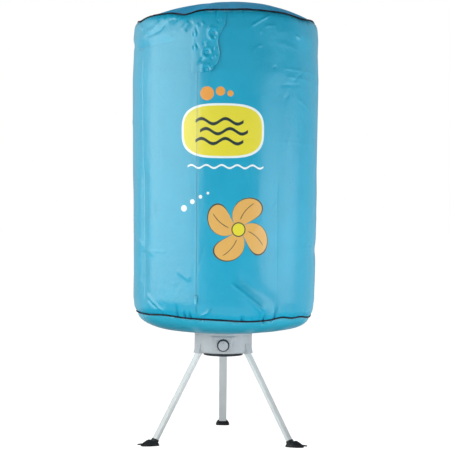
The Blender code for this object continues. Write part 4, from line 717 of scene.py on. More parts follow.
def belly_outline(share):
    """Radius, height under the seam and slope of the belly, from its seam at 0 to the end of its cuff at 1."""
    angle = np.clip(share / BELLY_TURN, 0.0, 1.0) * math.pi / 2
    inward = np.clip((share - BELLY_TURN) / BELLY_FLAT, 0.0, 1.0)
    up = np.clip((share - BELLY_TURN - BELLY_FLAT) / BELLY_CUFF, 0.0, 1.0)
    radius = BELLY_RADIUS + (BELLY_EDGE - BELLY_RADIUS) * np.cos(angle) - (BELLY_RADIUS - CUFF_RADIUS) * inward
    return radius, -BELLY_DROP * np.sin(angle) + CUFF_HEIGHT * up, angle


def belly_surface(azimuth, share):
    """Points of the belly, with tucks under the seam and an elastic's small gathers at the cuff."""
    radius, height, slope = belly_outline(share)
    near = np.clip((radius - BELLY_RADIUS) / (BELLY_EDGE - BELLY_RADIUS), 0.0, 1.0)
    seam = bottom_seam(azimuth) - BOTTOM_SEAM_HEIGHT
    away = share * BELLY_LENGTH
    depth = sum(tuck_depth(azimuth, away, rows) for rows in (BELLY_TUCKS, SEEN_BELLY_TUCKS, BELLY_FOLDS))
    elastic = np.cos(np.radians(azimuth * 38)) + 0.6 * np.cos(np.radians(azimuth * 61 + 30))
    gathers = elastic * smooth(share, 0.62, 0.88)
    radius = radius - depth * np.cos(slope) + 0.0002 * (gathers + 1.6) * smooth(share, 0.85, 0.92)
    height = height + depth * np.sin(slope) + 0.0012 * gathers * (1 - smooth(share, 0.86, 0.92))
    return point_at(radius, azimuth, BOTTOM_SEAM_HEIGHT + seam * near**2 + height)


belly_shares = np.linspace(0.0, 1.0, 76)
belly = grid_piece(
    "cover_belly_cloth", belly_surface(ring_columns[:, None], belly_shares[None, :]), closed=True, flip=True
)
print("belly:", len(belly.data.polygons), "faces")

# %% [markdown]
# ## Corded seams
# Both seams hide a cord in a folded strip of near-black cloth, so each reads as a thin dark line that wavers with
# the gathers. A curve with a bevel would be perfectly even. A tube from a track of points can swell and waver.

# %% The two corded seams
CORD_POINTS, CORD_REACH = 640, 6
# how far the cord strays outward and upward, and how much it swells
CORD_STRAY, CORD_WAVER, CORD_SWELL = 0.0006, 0.0010, 0.22


def seam_cord(name, radius, seam, seed):
    """A cord on a seam, uneven by seeded noise that is averaged over a few points to each side."""
    azimuth = np.linspace(-180.0, 180.0, CORD_POINTS, endpoint=False)
    uneven = np.random.default_rng(seed).normal(0.0, 1.0, CORD_POINTS)
    window = 2 * CORD_REACH + 1
    looped = np.concatenate([uneven[-CORD_REACH:], uneven, uneven[:CORD_REACH]])
    uneven = np.convolve(looped, np.ones(window) / window, "valid")
    track = point_at(radius + CORD_STRAY * uneven, azimuth, seam(azimuth) + CORD_WAVER * uneven)
    return tube_piece(name, track, PIPING_RADIUS * (1.0 + CORD_SWELL * uneven), closed=True)


top_cord = seam_cord("top_seam_cord", TOP_SEAM_RADIUS, top_seam, 7)
bottom_cord = seam_cord("bottom_seam_cord", BOTTOM_SEAM_RADIUS, bottom_seam, 8)
print("cords:", len(top_cord.data.polygons) + len(bottom_cord.data.polygons), "faces")

# %% [markdown]
# ## The zip
# The opening is closed by a zip on a narrow tape. The two hems nearly meet over it, so only a fine line shows. A
# painted line would pass from afar, but between the hems one can see the tape and its teeth from close by. So the
# tape is a strip of its own and each tooth a small block, and the blocks of the two sides mesh.

# %% Zip tape and teeth
TAPE_INSET = 0.0021
TAPE_REACH = 0.0088
# a tooth's width, how far it stands out, and its height
TOOTH = (0.0034, 0.0012, 0.0013)
TOOTH_PITCH, TOOTH_OFFSET = 0.0026, 0.0011


def blocks(name, centres, axes, size):
    """Small blocks, each at a centre with its own three axes, in one mesh."""
    signs = np.array([(x, y, z) for x in (-1, 1) for y in (-1, 1) for z in (-1, 1)]) * np.array(size) / 2
    points = centres[:, None] + np.einsum("kc,ncd->nkd", signs, axes)
    quads = np.array([(0, 1, 3, 2), (4, 6, 7, 5), (0, 4, 5, 1), (2, 3, 7, 6), (0, 2, 6, 4), (1, 5, 7, 3)])
    faces = (np.arange(len(centres))[:, None, None] * 8 + quads).reshape(-1, 4)
    return mesh_piece(name, points, faces.tolist(), soft=False)


def upright_axes(azimuth, count):
    """Across, outward and up at an azimuth, repeated."""
    angle = math.radians(azimuth)
    across, out = (math.cos(angle), math.sin(angle), 0.0), (math.sin(angle), -math.cos(angle), 0.0)
    return np.tile(np.array([across, out, (0.0, 0.0, 1.0)]), (count, 1, 1))


tape_columns = ZIP_AZIMUTH + np.degrees(np.linspace(-TAPE_REACH, TAPE_REACH, 15) / COVER_RADIUS)
tape_shares = np.linspace(0.003, 0.994, 260)
tape_points = point_at(
    wall_radius(tape_shares[None, :]) - TAPE_INSET,
    tape_columns[:, None],
    wall_height(tape_shares[None, :], ZIP_AZIMUTH),
)
zip_tape = grid_piece("zip_tape_strip", tape_points)
tooth_heights = np.arange(0.448, 1.425, TOOTH_PITCH)
side = np.where(np.arange(len(tooth_heights)) % 2 == 0, -1.0, 1.0) * TOOTH_OFFSET
tooth_centres = point_at(
    wall_radius(share_at(tooth_heights)) - TAPE_INSET + TOOTH[1] / 2,
    ZIP_AZIMUTH + np.degrees(side / COVER_RADIUS),
    tooth_heights,
)
zip_teeth = blocks("zip_teeth", tooth_centres, upright_axes(ZIP_AZIMUTH, len(tooth_heights)), TOOTH)
print("zip teeth:", len(tooth_heights))

# %% [markdown]
# ## The flap over the zip's top
# A flap of the same cloth hides the top of the zip. It is sewn along its left side, and its free edge waves
# between three press studs that pull the cloth into small puckers. It could be drawn on the wall by a material,
# but it lies on top, throws a thin shadow and has a hem, so it is its own sheet. It follows the wall under it, and
# its puckers are strokes, like the wall's folds.

# %% The flap's edges, studs and puckers
FLAP_LEFT = -21.2
FLAP_SHARES = (0.8005, 0.9985)
# azimuth of the free edge at heights from the bottom up
FLAP_FREE_EDGE = (
    (1.236, -9.9), (1.242, -8.3), (1.254, -6.6), (1.273, -4.3), (1.296, -3.3), (1.318, -3.9), (1.338, -4.6),
    (1.357, -4.1), (1.373, -2.4), (1.393, -0.6), (1.415, 0.3), (1.444, 0.6),
)
STUDS = ((-7.3, 1.3646), (-10.8, 1.3031), (-10.7, 1.2480))
FLAP_REST, FLAP_LEAST = 0.0018, 0.0005
# the free edge turns up in a soft swell with a fine hem on it: height and width of each
EDGE_SWELL, EDGE_HEM = (0.0014, 0.010), (0.0008, 0.0022)
# each stud sits in a dimple with a low ring round it: depth or height, radius and width
STUD_DIMPLE, STUD_RING = (0.0030, 0.0, 0.0090), (0.0016, 0.0150, 0.0060)
STUD_RADIUS, STUD_RISE = 0.0058, 0.0022
PUCKER_STRENGTH = 0.66
# azimuth and height of both ends, half width and depth of each pucker, a ridge where depth is negative
PUCKERS = (
    (((-19.8, 1.381), (-19.7, 1.354)), 0.0026, -0.0036), (((-17.8, 1.381), (-17.7, 1.354)), 0.0026, -0.0044),
    (((-19.7, 1.334), (-19.7, 1.309)), 0.0026, -0.0034), (((-17.8, 1.335), (-17.7, 1.310)), 0.0026, -0.0044),
    (((-18.2, 1.396), (-15.9, 1.359)), 0.0038, 0.0024), (((-18.0, 1.344), (-15.4, 1.311)), 0.0038, 0.0024),
    (((-17.1, 1.404), (-15.9, 1.385)), 0.0042, -0.0022), (((-14.2, 1.410), (-12.6, 1.387)), 0.0046, -0.0024),
    (((-6.8, 1.396), (-11.3, 1.371)), 0.0050, -0.0030), (((-2.4, 1.425), (-2.4, 1.399)), 0.0036, -0.0024),
    (((-5.2, 1.413), (-4.2, 1.395)), 0.0040, 0.0028), (((-5.0, 1.381), (-4.6, 1.366)), 0.0034, 0.0024),
    (((-10.2, 1.356), (-6.5, 1.337)), 0.0045, -0.0022), (((-8.9, 1.360), (-4.9, 1.342)), 0.0034, 0.0020),
    (((-10.4, 1.342), (-11.8, 1.319)), 0.0042, -0.0026), (((-12.7, 1.344), (-13.4, 1.325)), 0.0040, 0.0020),
    (((-8.3, 1.304), (-6.2, 1.322)), 0.0034, 0.0028), (((-7.2, 1.308), (-5.3, 1.323)), 0.0034, -0.0020),
    (((-11.8, 1.297), (-14.6, 1.277), (-16.8, 1.261)), 0.0042, 0.0032),
    (((-10.6, 1.281), (-13.1, 1.267), (-15.6, 1.256)), 0.0045, -0.0028),
    (((-8.9, 1.293), (-7.6, 1.276)), 0.0040, 0.0028), (((-8.7, 1.265), (-8.0, 1.249)), 0.0038, 0.0024),
    (((-5.6, 1.300), (-5.4, 1.280)), 0.0036, -0.0022), (((-5.8, 1.264), (-7.4, 1.248)), 0.0034, -0.0020),
)


print("studs:", len(STUDS), "puckers:", len(PUCKERS))


# %% The flap's surface
def swell(away, height, at, width):
    """A rounded rise at a distance, of a height and a width."""
    return height * np.exp(-(((away - at) / width) ** 2))


def flap_lift(azimuth, height, from_edge, from_left):
    """How far the flap stands off the wall: flat where it is sewn, dimpled at the studs, puckered between them."""
    total = FLAP_REST * smooth(from_left, 0.0, 0.014) + 0.0004
    for rise, width in (EDGE_SWELL, EDGE_HEM):
        total = total + swell(from_edge, rise, 0.0, width)
    for at, level in STUDS:
        away = np.hypot(around(azimuth - at) * ARC, height - level)
        total = total - swell(away, *STUD_DIMPLE) + swell(away, *STUD_RING)
    return total - PUCKER_STRENGTH * sum(stroke(azimuth, height, *row, sharp=1.8, taper=0.55) for row in PUCKERS)


def flap_surface(across, share):
    """Points of the flap, from its sewn side at 0 to its free edge at 1, at shares of the wall's height."""
    height = wall_height(share, FLAP_LEFT + 8.0)
    at, edge = np.array(FLAP_FREE_EDGE).T
    free = sum(np.interp(height + shift, at, edge) for shift in np.linspace(-0.007, 0.007, 7)) / 7
    azimuth = FLAP_LEFT + (free - FLAP_LEFT) * across
    base = wall_surface(azimuth, share, edges=0.0)
    lift = flap_lift(azimuth, height, (free - azimuth) * ARC, (azimuth - FLAP_LEFT) * ARC)
    lift = lift * smooth(1 - share, 0.0, 0.045)
    lift = np.maximum(lift + 0.0004, FLAP_LEAST) - 0.0016 * (across > 0.999)
    angle = np.radians(azimuth)
    return base + lift[..., None] * np.stack([np.sin(angle), -np.cos(angle), 0 * angle], axis=-1)


flap_across = np.concatenate([np.linspace(0.0, 0.985, 76), (0.995, 0.9985, 1.0)])
flap_share = np.linspace(*FLAP_SHARES, 140)
flap = grid_piece("flap_cloth", flap_surface(flap_across[:, None], flap_share[None, :]))
print("flap:", len(flap.data.polygons), "faces")

# %% Press studs
# shares of STUD_RADIUS and STUD_RISE, from the rim to the dished middle
STUD_OUTLINE = (
    (1.0, 0.0), (1.02, 0.35), (0.9, 0.72), (0.66, 0.98), (0.5, 1.0), (0.4, 0.82), (0.2, 0.72), (0.02, 0.7),
)


def stud(name, azimuth, height):
    axes = upright_axes(azimuth, 1)[0]
    seat = wall_surface(np.array([azimuth]), np.array([share_at(height)]))[0] + axes[1] * 0.0004
    turns = np.linspace(0.0, 2 * math.pi, 24, endpoint=False)
    reach, rise = np.array(STUD_OUTLINE).T * ((STUD_RADIUS,), (STUD_RISE,))
    points = seat + (
        (np.cos(turns)[:, None] * reach)[..., None] * axes[0]
        + (np.sin(turns)[:, None] * reach)[..., None] * axes[2]
        + rise[None, :, None] * axes[1]
    )
    return grid_piece(name, points, closed=True, cap=True)


studs = [stud("press_stud_" + str(i + 1), *place) for i, place in enumerate(STUDS)]
print("studs:", len(studs))

# %% [markdown]
# ## Stitching
# Every hem and seam is sewn with a thread a shade lighter than the cloth. A dashed line in the material would do at
# a distance. Here each stitch is a thin spindle that sinks at its ends, because it also bends light at the hem.

# %% Stitches
STITCH_PITCH, STITCH_LENGTH, STITCH_RADIUS = 0.0034, 0.0025, 0.00032


def stitches(name, track, lift=0.0003):
    """A row of stitches along a track that lies on the cloth."""
    steps = np.linalg.norm(np.diff(track, axis=0), axis=1)
    place = np.concatenate([[0.0], np.cumsum(steps)])
    starts = np.arange(0.0, place[-1] - STITCH_LENGTH, STITCH_PITCH)
    at = lambda s: np.stack([np.interp(s, place, track[:, i]) for i in range(3)], axis=-1)
    first, last = at(starts), at(starts + STITCH_LENGTH)
    out = first * (1, 1, 0)
    out /= np.linalg.norm(out, axis=1, keepdims=True)
    ahead = (last - first) / np.linalg.norm(last - first, axis=1, keepdims=True)
    wide = np.cross(ahead, out) * STITCH_RADIUS
    middle = (first + last) / 2 + out * lift
    high = out * STITCH_RADIUS
    points = np.stack([first, middle + wide, middle + high, middle - wide, middle - high, last], axis=1)
    shape = np.array([(0, 1, 2), (0, 2, 3), (0, 3, 4), (0, 4, 1), (5, 2, 1), (5, 3, 2), (5, 4, 3), (5, 1, 4)])
    faces = (np.arange(len(starts))[:, None, None] * 6 + shape).reshape(-1, 3)
    return mesh_piece(name, points, faces.tolist())


DEGREES_PER_METRE = math.degrees(1 / COVER_RADIUS)
# distance of each hem's stitches from its edge, in metres; the flap's rows and the seams' rows as shares
LEFT_HEM, RIGHT_HEM = 0.006, 0.005
FLAP_SIDE, FLAP_EDGE, FLAP_FOOT = 0.04, 0.955, 0.005
TOP_ROW, BOTTOM_ROW = 0.9935, 0.0060
full_circle, upright = np.linspace(-15.0, 341.0, 900), np.linspace(0.006, 0.992, 500)
flap_upright = np.linspace(*FLAP_SHARES, 200)
left_hem = np.full(500, ZIP_AZIMUTH - ZIP_REACH - LEFT_HEM * DEGREES_PER_METRE)
right_hem = np.full(500, ZIP_AZIMUTH + ZIP_REACH + RIGHT_HEM * DEGREES_PER_METRE)
sewn = {
    "left_hem_stitches": wall_surface(left_hem, upright),
    "right_hem_stitches": wall_surface(right_hem, upright),
    "top_seam_stitches": wall_surface(full_circle, np.full(900, TOP_ROW)),
    "bottom_seam_stitches": wall_surface(full_circle, np.full(900, BOTTOM_ROW)),
    "flap_edge_stitches": flap_surface(np.full(200, FLAP_EDGE), flap_upright),
    "flap_side_stitches": flap_surface(np.full(200, FLAP_SIDE), flap_upright),
    "flap_foot_stitches": flap_surface(
        np.linspace(FLAP_SIDE, FLAP_EDGE, 200), np.full(200, FLAP_SHARES[0] + FLAP_FOOT)
    ),
}
threads = [stitches(name, track) for name, track in sewn.items()]
print("rows of stitches:", len(threads))

# %% [markdown]
# ## Feet
# The feet are soft black shoes, broad behind the tube and drawn out to a thin tab in front. Their solids have flat
# sides. A subdivision surface would round them but also shrink them, so here the same sections are rounded by
# cutting their corners a few times, which is the same idea under control. A low collar closes round each tube.

# %% Feet from rounded sections
# share of the way from heel to toe, half width as a share of FOOT_HALF, height, and how wide the top is in turn
FOOT_SECTIONS = (
    (0.0, 0.70, 0.0070, 0.50), (0.03, 0.86, 0.0095, 0.60), (0.09, 0.97, 0.0118, 0.66), (0.24, 1.0, 0.0150, 0.62),
    (0.42, 0.98, 0.0195, 0.42), (0.50, 0.95, 0.0200, 0.36), (0.66, 0.82, 0.0165, 0.36), (0.83, 0.60, 0.0118, 0.36),
    (0.95, 0.38, 0.0088, 0.30), (1.0, 0.29, 0.0078, 0.22),
)
LEG_AZIMUTHS = {"left": -60.0, "right": 60.0, "rear": 180.0}
FOOT_HEEL, FOOT_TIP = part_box("foot_rear")[0].y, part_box("foot_rear")[1].y
FOOT_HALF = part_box("foot_rear")[1].x
TAB_LENGTH, TAB_HALF, TAB_TOP, TAB_UNDER = 0.0145, 0.007, 0.0092, 0.0055
GRIP_RIBS, GRIP_DEPTH = 11, 0.0004
LEG_SLOPE = math.radians(30.0)
LEG_PIVOT = (0.0825, 0.3275)
# height of the collar's middle, its half sizes, how square it is, and its outline as (growth, rise)
COLLAR_HEIGHT, COLLAR_HALF, COLLAR_SQUARE = 0.0160, (0.0072, 0.0147), 0.45
COLLAR_OUTLINE = ((0.0, 0.0042), (0.0007, 0.0034), (0.0011, 0.0010), (0.0018, -0.0090))


def rounded(points, times=3):
    """A closed outline with its corners cut off again and again."""
    for _ in range(times):
        after = np.roll(points, -1, axis=0)
        points = np.stack([0.8 * points + 0.2 * after, 0.2 * points + 0.8 * after], axis=1).reshape(-1, 2)
    return points


def foot_rings(stations=46):
    """Outlines across the foot, each with its place along it."""
    share, wide, high, narrow = np.array(FOOT_SECTIONS).T
    places = np.linspace(0.0, 1.0, stations)
    rings = []
    for place in places:
        half, height, top = (np.interp(place, share, column) for column in (wide, high, narrow))
        half, top = half * FOOT_HALF, half * FOOT_HALF * top
        shoulder = top + (half - top) * 0.7
        grip = GRIP_DEPTH * math.cos(place * 2 * math.pi * GRIP_RIBS)
        right = [(half * 0.96, 0.0), (half + grip, height * 0.12), (half, height * 0.30), (shoulder, height * 0.72)]
        outline = right + [(top, height), (-top, height)] + [(-x, z) for x, z in reversed(right)]
        rings.append(rounded(np.array(outline)))
    return places, rings


print("points round a section:", len(foot_rings()[1][0]))


# %% One shoe
def foot(name):
    """One shoe: rings of points for its body, closed at both ends, and a tab of its own rings in front."""
    across, out, up = upright_axes(LEG_AZIMUTHS[name], 1)[0]
    places, rings = foot_rings()
    toe = FOOT_TIP - TAB_LENGTH
    points = []
    for place, ring in zip(places, rings):
        reach = FOOT_HEEL + place * (toe - FOOT_HEEL)
        points.append([out * reach + across * x + up * z for x, z in ring])
    shoe = grid_piece("shoe_" + name, np.array(points + points[-1:]), flip=True)
    shape = bmesh.new()
    shape.from_mesh(shoe.data)
    count = len(points[0])
    shape.verts.ensure_lookup_table()
    for start in (0, count * (len(points) - 1)):
        shape.faces.new(shape.verts[start + i] for i in range(count))
    for i in range(len(points) - 1):
        shape.faces.new(shape.verts[j] for j in (i * count, (i + 1) * count, (i + 2) * count - 1, (i + 1) * count - 1))
    corners = np.array([(-1, -1), (1, -1), (1, 1), (-1, 1)])
    tab_ring = rounded(corners * (TAB_HALF, (TAB_TOP - TAB_UNDER) / 2) + (0.0, (TAB_TOP + TAB_UNDER) / 2))
    tab_places = (toe - 0.012, toe + 0.004, FOOT_TIP - 0.004, FOOT_TIP - 0.0012, FOOT_TIP)
    tab_narrow = (1.0, 1.0, 0.86, 0.62, 0.30)
    previous = None
    for reach, narrow in zip(tab_places, tab_narrow):
        ring = [shape.verts.new(out * reach + across * x * narrow + up * z) for x, z in tab_ring]
        if previous:
            for i in range(len(ring)):
                shape.faces.new((previous[i], previous[i - 1], ring[i - 1], ring[i]))
        previous = ring
    shape.faces.new(previous)
    bmesh.ops.remove_doubles(shape, verts=shape.verts, dist=0.00001)
    bmesh.ops.recalc_face_normals(shape, faces=shape.faces)
    for face in shape.faces:
        face.smooth = True
    shape.to_mesh(shoe.data)
    shape.free()
    return shoe


print("foot:", round(FOOT_TIP - FOOT_HEEL, 3), "m long")


# %% Collars
def leg_collar(name):
    """A rounded band where the tube enters the shoe."""
    across, out, up = upright_axes(LEG_AZIMUTHS[name], 1)[0]
    down = out * math.sin(LEG_SLOPE) - up * math.cos(LEG_SLOPE)
    over = out * math.cos(LEG_SLOPE) + up * math.sin(LEG_SLOPE)
    way = (LEG_PIVOT[1] - COLLAR_HEIGHT) / math.cos(LEG_SLOPE)
    centre = out * LEG_PIVOT[0] + up * LEG_PIVOT[1] + down * way
    turns = np.linspace(0.0, 2 * math.pi, 40, endpoint=False)
    x, y = (
        np.sign(wave) * np.abs(wave) ** COLLAR_SQUARE * half
        for wave, half in zip((np.cos(turns), np.sin(turns)), COLLAR_HALF)
    )
    points = [
        centre + (x + np.sign(x) * grow)[:, None] * over + (y + np.sign(y) * grow)[:, None] * across - down * rise
        for grow, rise in COLLAR_OUTLINE
    ]
    return grid_piece("shoe_collar_" + name, np.array(points).transpose(1, 0, 2), closed=True)


shoes = {name: (foot(name), leg_collar(name)) for name in LEG_AZIMUTHS}
print("shoe:", len(shoes["rear"][0].data.polygons), "faces")

# %% [markdown]
# ## Small fittings on the heater
# The control is a round knob in a dark ring, with marks round it for the minutes. Screws hold the two shells from
# below. A picture of marks would blur from close by, so each is a thin block. The knob turns with its joint, so its
# pointer line rides on the knob, and the marks stay on the panel.

# %% Marks and pointer
KNOB_CENTRE = (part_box("timer_knob")[0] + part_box("timer_knob")[1]) / 2
PANEL_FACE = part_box("timer_bezel")[1].y
KNOB_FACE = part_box("timer_knob")[0].y
MARK_RADIUS, MARKS, MARK_SIZE = 0.0243, 13, (0.0007, 0.0003, 0.0024)
POINTER_OFFSET, POINTER_SIZE = 0.0105, (0.0010, 0.0004, 0.0050)


def panel_marks():
    turns = np.radians(np.linspace(-150.0, 150.0, MARKS))
    x, z = KNOB_CENTRE.x + MARK_RADIUS * np.sin(turns), KNOB_CENTRE.z + MARK_RADIUS * np.cos(turns)
    centres = np.stack([x, np.full(MARKS, PANEL_FACE - 0.0002), z], axis=-1)
    axes = np.array([[(np.cos(t), 0, -np.sin(t)), (0, -1, 0), (np.sin(t), 0, np.cos(t))] for t in turns])
    return blocks("timer_marks", centres, axes, MARK_SIZE)


def knob_pointer():
    centre = np.array([[KNOB_CENTRE.x, KNOB_FACE - 0.00015, KNOB_CENTRE.z + POINTER_OFFSET]])
    return blocks("timer_pointer", centre, np.array([[(1, 0, 0), (0, -1, 0), (0, 0, 1)]]), POINTER_SIZE)


marks, pointer = panel_marks(), knob_pointer()
print("panel face at", round(PANEL_FACE, 4), "knob face at", round(KNOB_FACE, 4))

# %% Screws under the heater
SCREW_AZIMUTHS = (0.0, 120.0, 240.0)
SCREW_REACH, SCREW_SEAT = 0.0845, 0.305
# radius and height under the seat: a round head, then the cross slot, whose sides are squeezed into a cross
SCREW_HEAD = ((0.0034, 0.0), (0.0036, -0.0006), (0.0030, -0.0015))
SCREW_SLOT = ((0.0017, -0.0020), (0.0015, -0.0012), (0.0003, -0.0012))


def screw(name, azimuth):
    """A pan-head screw with a cross slot, seen from below."""
    centre = point_at(SCREW_REACH, azimuth, SCREW_SEAT)
    turns = np.linspace(0.0, 2 * math.pi, 32, endpoint=False)
    cross = 0.55 + 0.45 * np.abs(np.cos(2 * turns)) ** 4
    rings = [(r * np.ones(32), z) for r, z in SCREW_HEAD] + [(r * cross, z) for r, z in SCREW_SLOT]
    points = [centre + np.stack([r * np.cos(turns), r * np.sin(turns), np.full(32, z)], axis=-1) for r, z in rings]
    return grid_piece(name, np.array(points).transpose(1, 0, 2), closed=True, flip=True, cap=True)


screws = [screw("shell_screw_" + str(i + 1), azimuth) for i, azimuth in enumerate(SCREW_AZIMUTHS)]
print("screws:", len(screws))

# %% [markdown]
# ## The cloth's finish
# The cover is thin nylon with a coating, so it is smooth and a little shiny, and its colour is a clear blue. A
# plain colour would look like plastic. Three things make it cloth: a fine weave that roughens it, soft crumples in
# between the modelled folds, and patches where the coating is slightly worn. The weave comes from stretched noise
# and not from even stripes, which would flicker when they are smaller than a pixel. The cap is stretched and dull,
# so it has its own roughness and gloss. Its blue is painted brighter than the wall's, as painted light that keeps
# it from going grey. The belly's blue is painted paler, as painted light for the floor's bounce under it.

# %% Cloth
COVER_BLUE, COVER_PALE = rgb(5, 158, 195), rgb(16, 169, 206)
THREAD_GRAIN = 900.0


def cross_threads(finish, point, grain, along, across):
    """Fine noise drawn out upright and level, like the two ways of a weave."""
    return finish.noise(point, grain, 1.0, stretch=(1, 1, along)) + finish.noise(
        point, grain, 1.0, stretch=(across, across, 1)
    )


def cloth_finish(name, colour, pale, roughness=0.285, gloss=0.92):
    """The cloth's shader, its place on the object, and its colour, which isn't fed in yet."""
    cloth = Finish(name, colour, roughness, **{"Specular IOR Level": gloss})
    point, x, y, z = cloth.place()
    threads = cross_threads(cloth, point, THREAD_GRAIN, 0.18, 0.2)
    crumple = cloth.noise(point, 34.0, 3.0, 0.55) * 0.0011 + cloth.noise(point, 95.0, 3.0, 0.5) * 0.00030
    ripple = cloth.noise(point, 16.0, 2.0, stretch=(1.5, 1.5, 0.35)) * 0.0012
    cloth.feed("Normal", cloth.bump(crumple + ripple + threads * 0.000018))
    worn = cloth.ramp(cloth.noise(point, 11.0, 4.0), -0.18, 0.30)
    cloth.feed("Roughness", roughness + worn * 0.05 + threads * 0.05)
    return cloth, (x, y, z), cloth.blend(worn * 0.6 + threads * 0.12, colour, pale)


def unprinted(*look):
    cloth, _, colour = cloth_finish(*look)
    cloth.feed("Base Color", colour)
    return cloth


plain_cloth = unprinted("cover_cloth", COVER_BLUE, COVER_PALE)
# the cap's brighter blue is painted light that keeps it from going grey; its roughness and low gloss make it dull
cap_cloth_painted_brighter = unprinted("cap_cloth", rgb(16, 170, 226), rgb(26, 180, 234), 0.46, 0.22)
# the belly's paler blue is painted light, standing in for the bounce from the floor under it
belly_cloth_painted_bounce = unprinted("belly_cloth", rgb(34, 162, 193), rgb(50, 174, 204))
print("plain cloth nodes:", len(plain_cloth.tree.nodes))

# %% [markdown]
# ## The print on the front
# The front of the cover carries a coloured print. The one here is made up for this lesson: an oval with three waves
# of warm air, three discs, a wavy line, a row of dots and a four-bladed wheel. A picture file could be laid on the
# cloth, but a formula stays sharp from close by. Each shape is a mask on the unrolled wall: how far across in
# metres, and how high. Its edge is a short ramp, so that it stays clean.

# %% Shapes on the unrolled wall
PRINT_EDGE = 0.0007


def oval(cloth, across, up, centre, half, power):
    """1 inside a rounded oval, 0 outside."""
    u, v = abs((across - centre[0]) / half[0]), abs((up - centre[1]) / half[1])
    soft = power * PRINT_EDGE / min(half)
    return cloth.ramp(-(u**power + v**power), -1.0 - soft, -1.0 + soft)


def spots(cloth, across, up, table):
    """1 inside any disc of a table of centres and radii."""
    return sum((oval(cloth, across, up, centre, (radius, radius), 2.0) for centre, radius in table), 0.0)


def wave_line(cloth, across, up, left, right, height, swell, waves, half_width):
    """1 on a wavy line between two ends."""
    share = (across - left) / (right - left)
    middle = (share * (2 * math.pi * waves)).math("SINE") * swell + height
    on_line = cloth.ramp(-abs(up - middle), -half_width - PRINT_EDGE, -half_width + PRINT_EDGE)
    return on_line * cloth.ramp(-abs(share - 0.5), -0.505, -0.495)


print("a shape's edge:", PRINT_EDGE, "m")


# %% A wheel of four blades
def wheel(cloth, across, up, centre, reach):
    """Masks of a four-bladed wheel: the whole blades, and the lines drawn on them."""
    u, v = (across - centre[0]) / reach, (up - centre[1]) / reach
    away = (u * u + v * v) ** 0.5
    turn = v.math("ARCTAN2", u) * 2.0 + away * 1.3
    blade = abs(turn.math("COSINE")) ** 0.42 - away
    blades = cloth.ramp(blade, 0.0, 0.015)
    inner = cloth.ramp(blade, 0.035, 0.050)
    crease = cloth.ramp(-abs(turn.math("SINE")) * away, -0.030, -0.012)
    lines = blades - inner + inner * crease * cloth.ramp(away, 0.26, 0.32) * cloth.ramp(-away, -0.86, -0.80)
    return blades, lines


print("made:", wheel.__doc__)

# %% The printed cloth
PRINT_YELLOW, PRINT_TAN, PRINT_ORANGE = rgb(222, 214, 52), rgb(218, 172, 92), rgb(232, 160, 70)
PRINT_DARK, PRINT_WHITE = rgb(38, 60, 64), rgb(226, 238, 240)
PANEL_CENTRE, PANEL_HALF = (-0.0085, 1.0515), (0.139, 0.0885)
WHEEL_CENTRE, WHEEL_REACH, HUB_RADIUS = (0.047, 0.733), 0.118, 0.020
RIM, HUB_RIM = 0.007, 0.0035
DISCS = (((-0.060, 1.172), 0.0225), ((-0.016, 1.179), 0.0150), ((0.016, 1.172), 0.0100))
DOTS = (
    ((-0.138, 0.800), 0.0105), ((-0.108, 0.822), 0.0080), ((-0.080, 0.838), 0.0062), ((-0.055, 0.850), 0.0046),
)
# left end, right end and height of each wave on the panel; then their swell, number of waves and half width
PANEL_WAVES = ((-0.098, 0.060, 1.082), (-0.083, 0.075, 1.050), (-0.098, 0.060, 1.018))
PANEL_WAVE, UNDER_WAVE = (0.0085, 2.0, 0.0052), (0.0050, 5.0, 0.0030)

printed, (x, y, z), colour = cloth_finish("cover_cloth_printed", COVER_BLUE, COVER_PALE)
across = x.math("ARCTAN2", -y) * COVER_RADIUS
front = printed.ramp(-y, 0.05, 0.08)
rim = oval(printed, across, z, PANEL_CENTRE, PANEL_HALF, 3.0)
panel = oval(printed, across, z, PANEL_CENTRE, tuple(half - RIM for half in PANEL_HALF), 3.0)
waves = sum((wave_line(printed, across, z, *line, *PANEL_WAVE) for line in PANEL_WAVES), 0.0)
under_line = wave_line(printed, across, z, -0.125, 0.130, 0.936, *UNDER_WAVE)
dots, discs = spots(printed, across, z, DOTS), spots(printed, across, z, DISCS)
blades, drawn = wheel(printed, across, z, WHEEL_CENTRE, WHEEL_REACH)
hub, hub_line = (spots(printed, across, z, [(WHEEL_CENTRE, HUB_RADIUS + more)]) for more in (0.0, HUB_RIM))
for mask, ink in (
    (discs, PRINT_ORANGE), (rim, PRINT_WHITE), (panel, PRINT_YELLOW), (waves, PRINT_DARK), (under_line, PRINT_WHITE),
    (dots, PRINT_WHITE), (blades, PRINT_TAN), (drawn, PRINT_DARK), (hub_line, PRINT_DARK), (hub, PRINT_YELLOW),
):
    colour = printed.blend(mask * front, colour, ink)
printed.feed("Base Color", colour)
print("printed cloth nodes:", len(printed.tree.nodes))

# %% [markdown]
# ## Cord, zip and thread
# The seam cord is wrapped in black cloth that twists as it is sewn. A flat black would read as a drawn line, so
# its bump winds round it and its colour fades in places. The zip's tape and the thread are woven blue. The thread
# is a shade lighter than the cloth. The tape and its teeth are painted paler still, as painted light that lifts
# the shade in the narrow gap between the hems.

# %% Trim finishes
CORD_TWIST = 0.011
seam_black = Finish("seam_cord_black", rgb(34, 30, 40), 0.62, **{"Specular IOR Level": 0.3})
point, x, y, z = seam_black.place()
twist = (x.math("ARCTAN2", -y) * (TOP_SEAM_RADIUS * 2 * math.pi / CORD_TWIST) + z * 900.0).math("SINE")
seam_black.feed("Normal", seam_black.bump(twist * 0.0003 + seam_black.noise(point, 500.0) * 0.0002))
fade = seam_black.ramp(seam_black.noise(point, 26.0, 3.0), -0.1, 0.25)
seam_black.feed("Base Color", seam_black.blend(fade, rgb(30, 28, 36), rgb(62, 48, 66)))


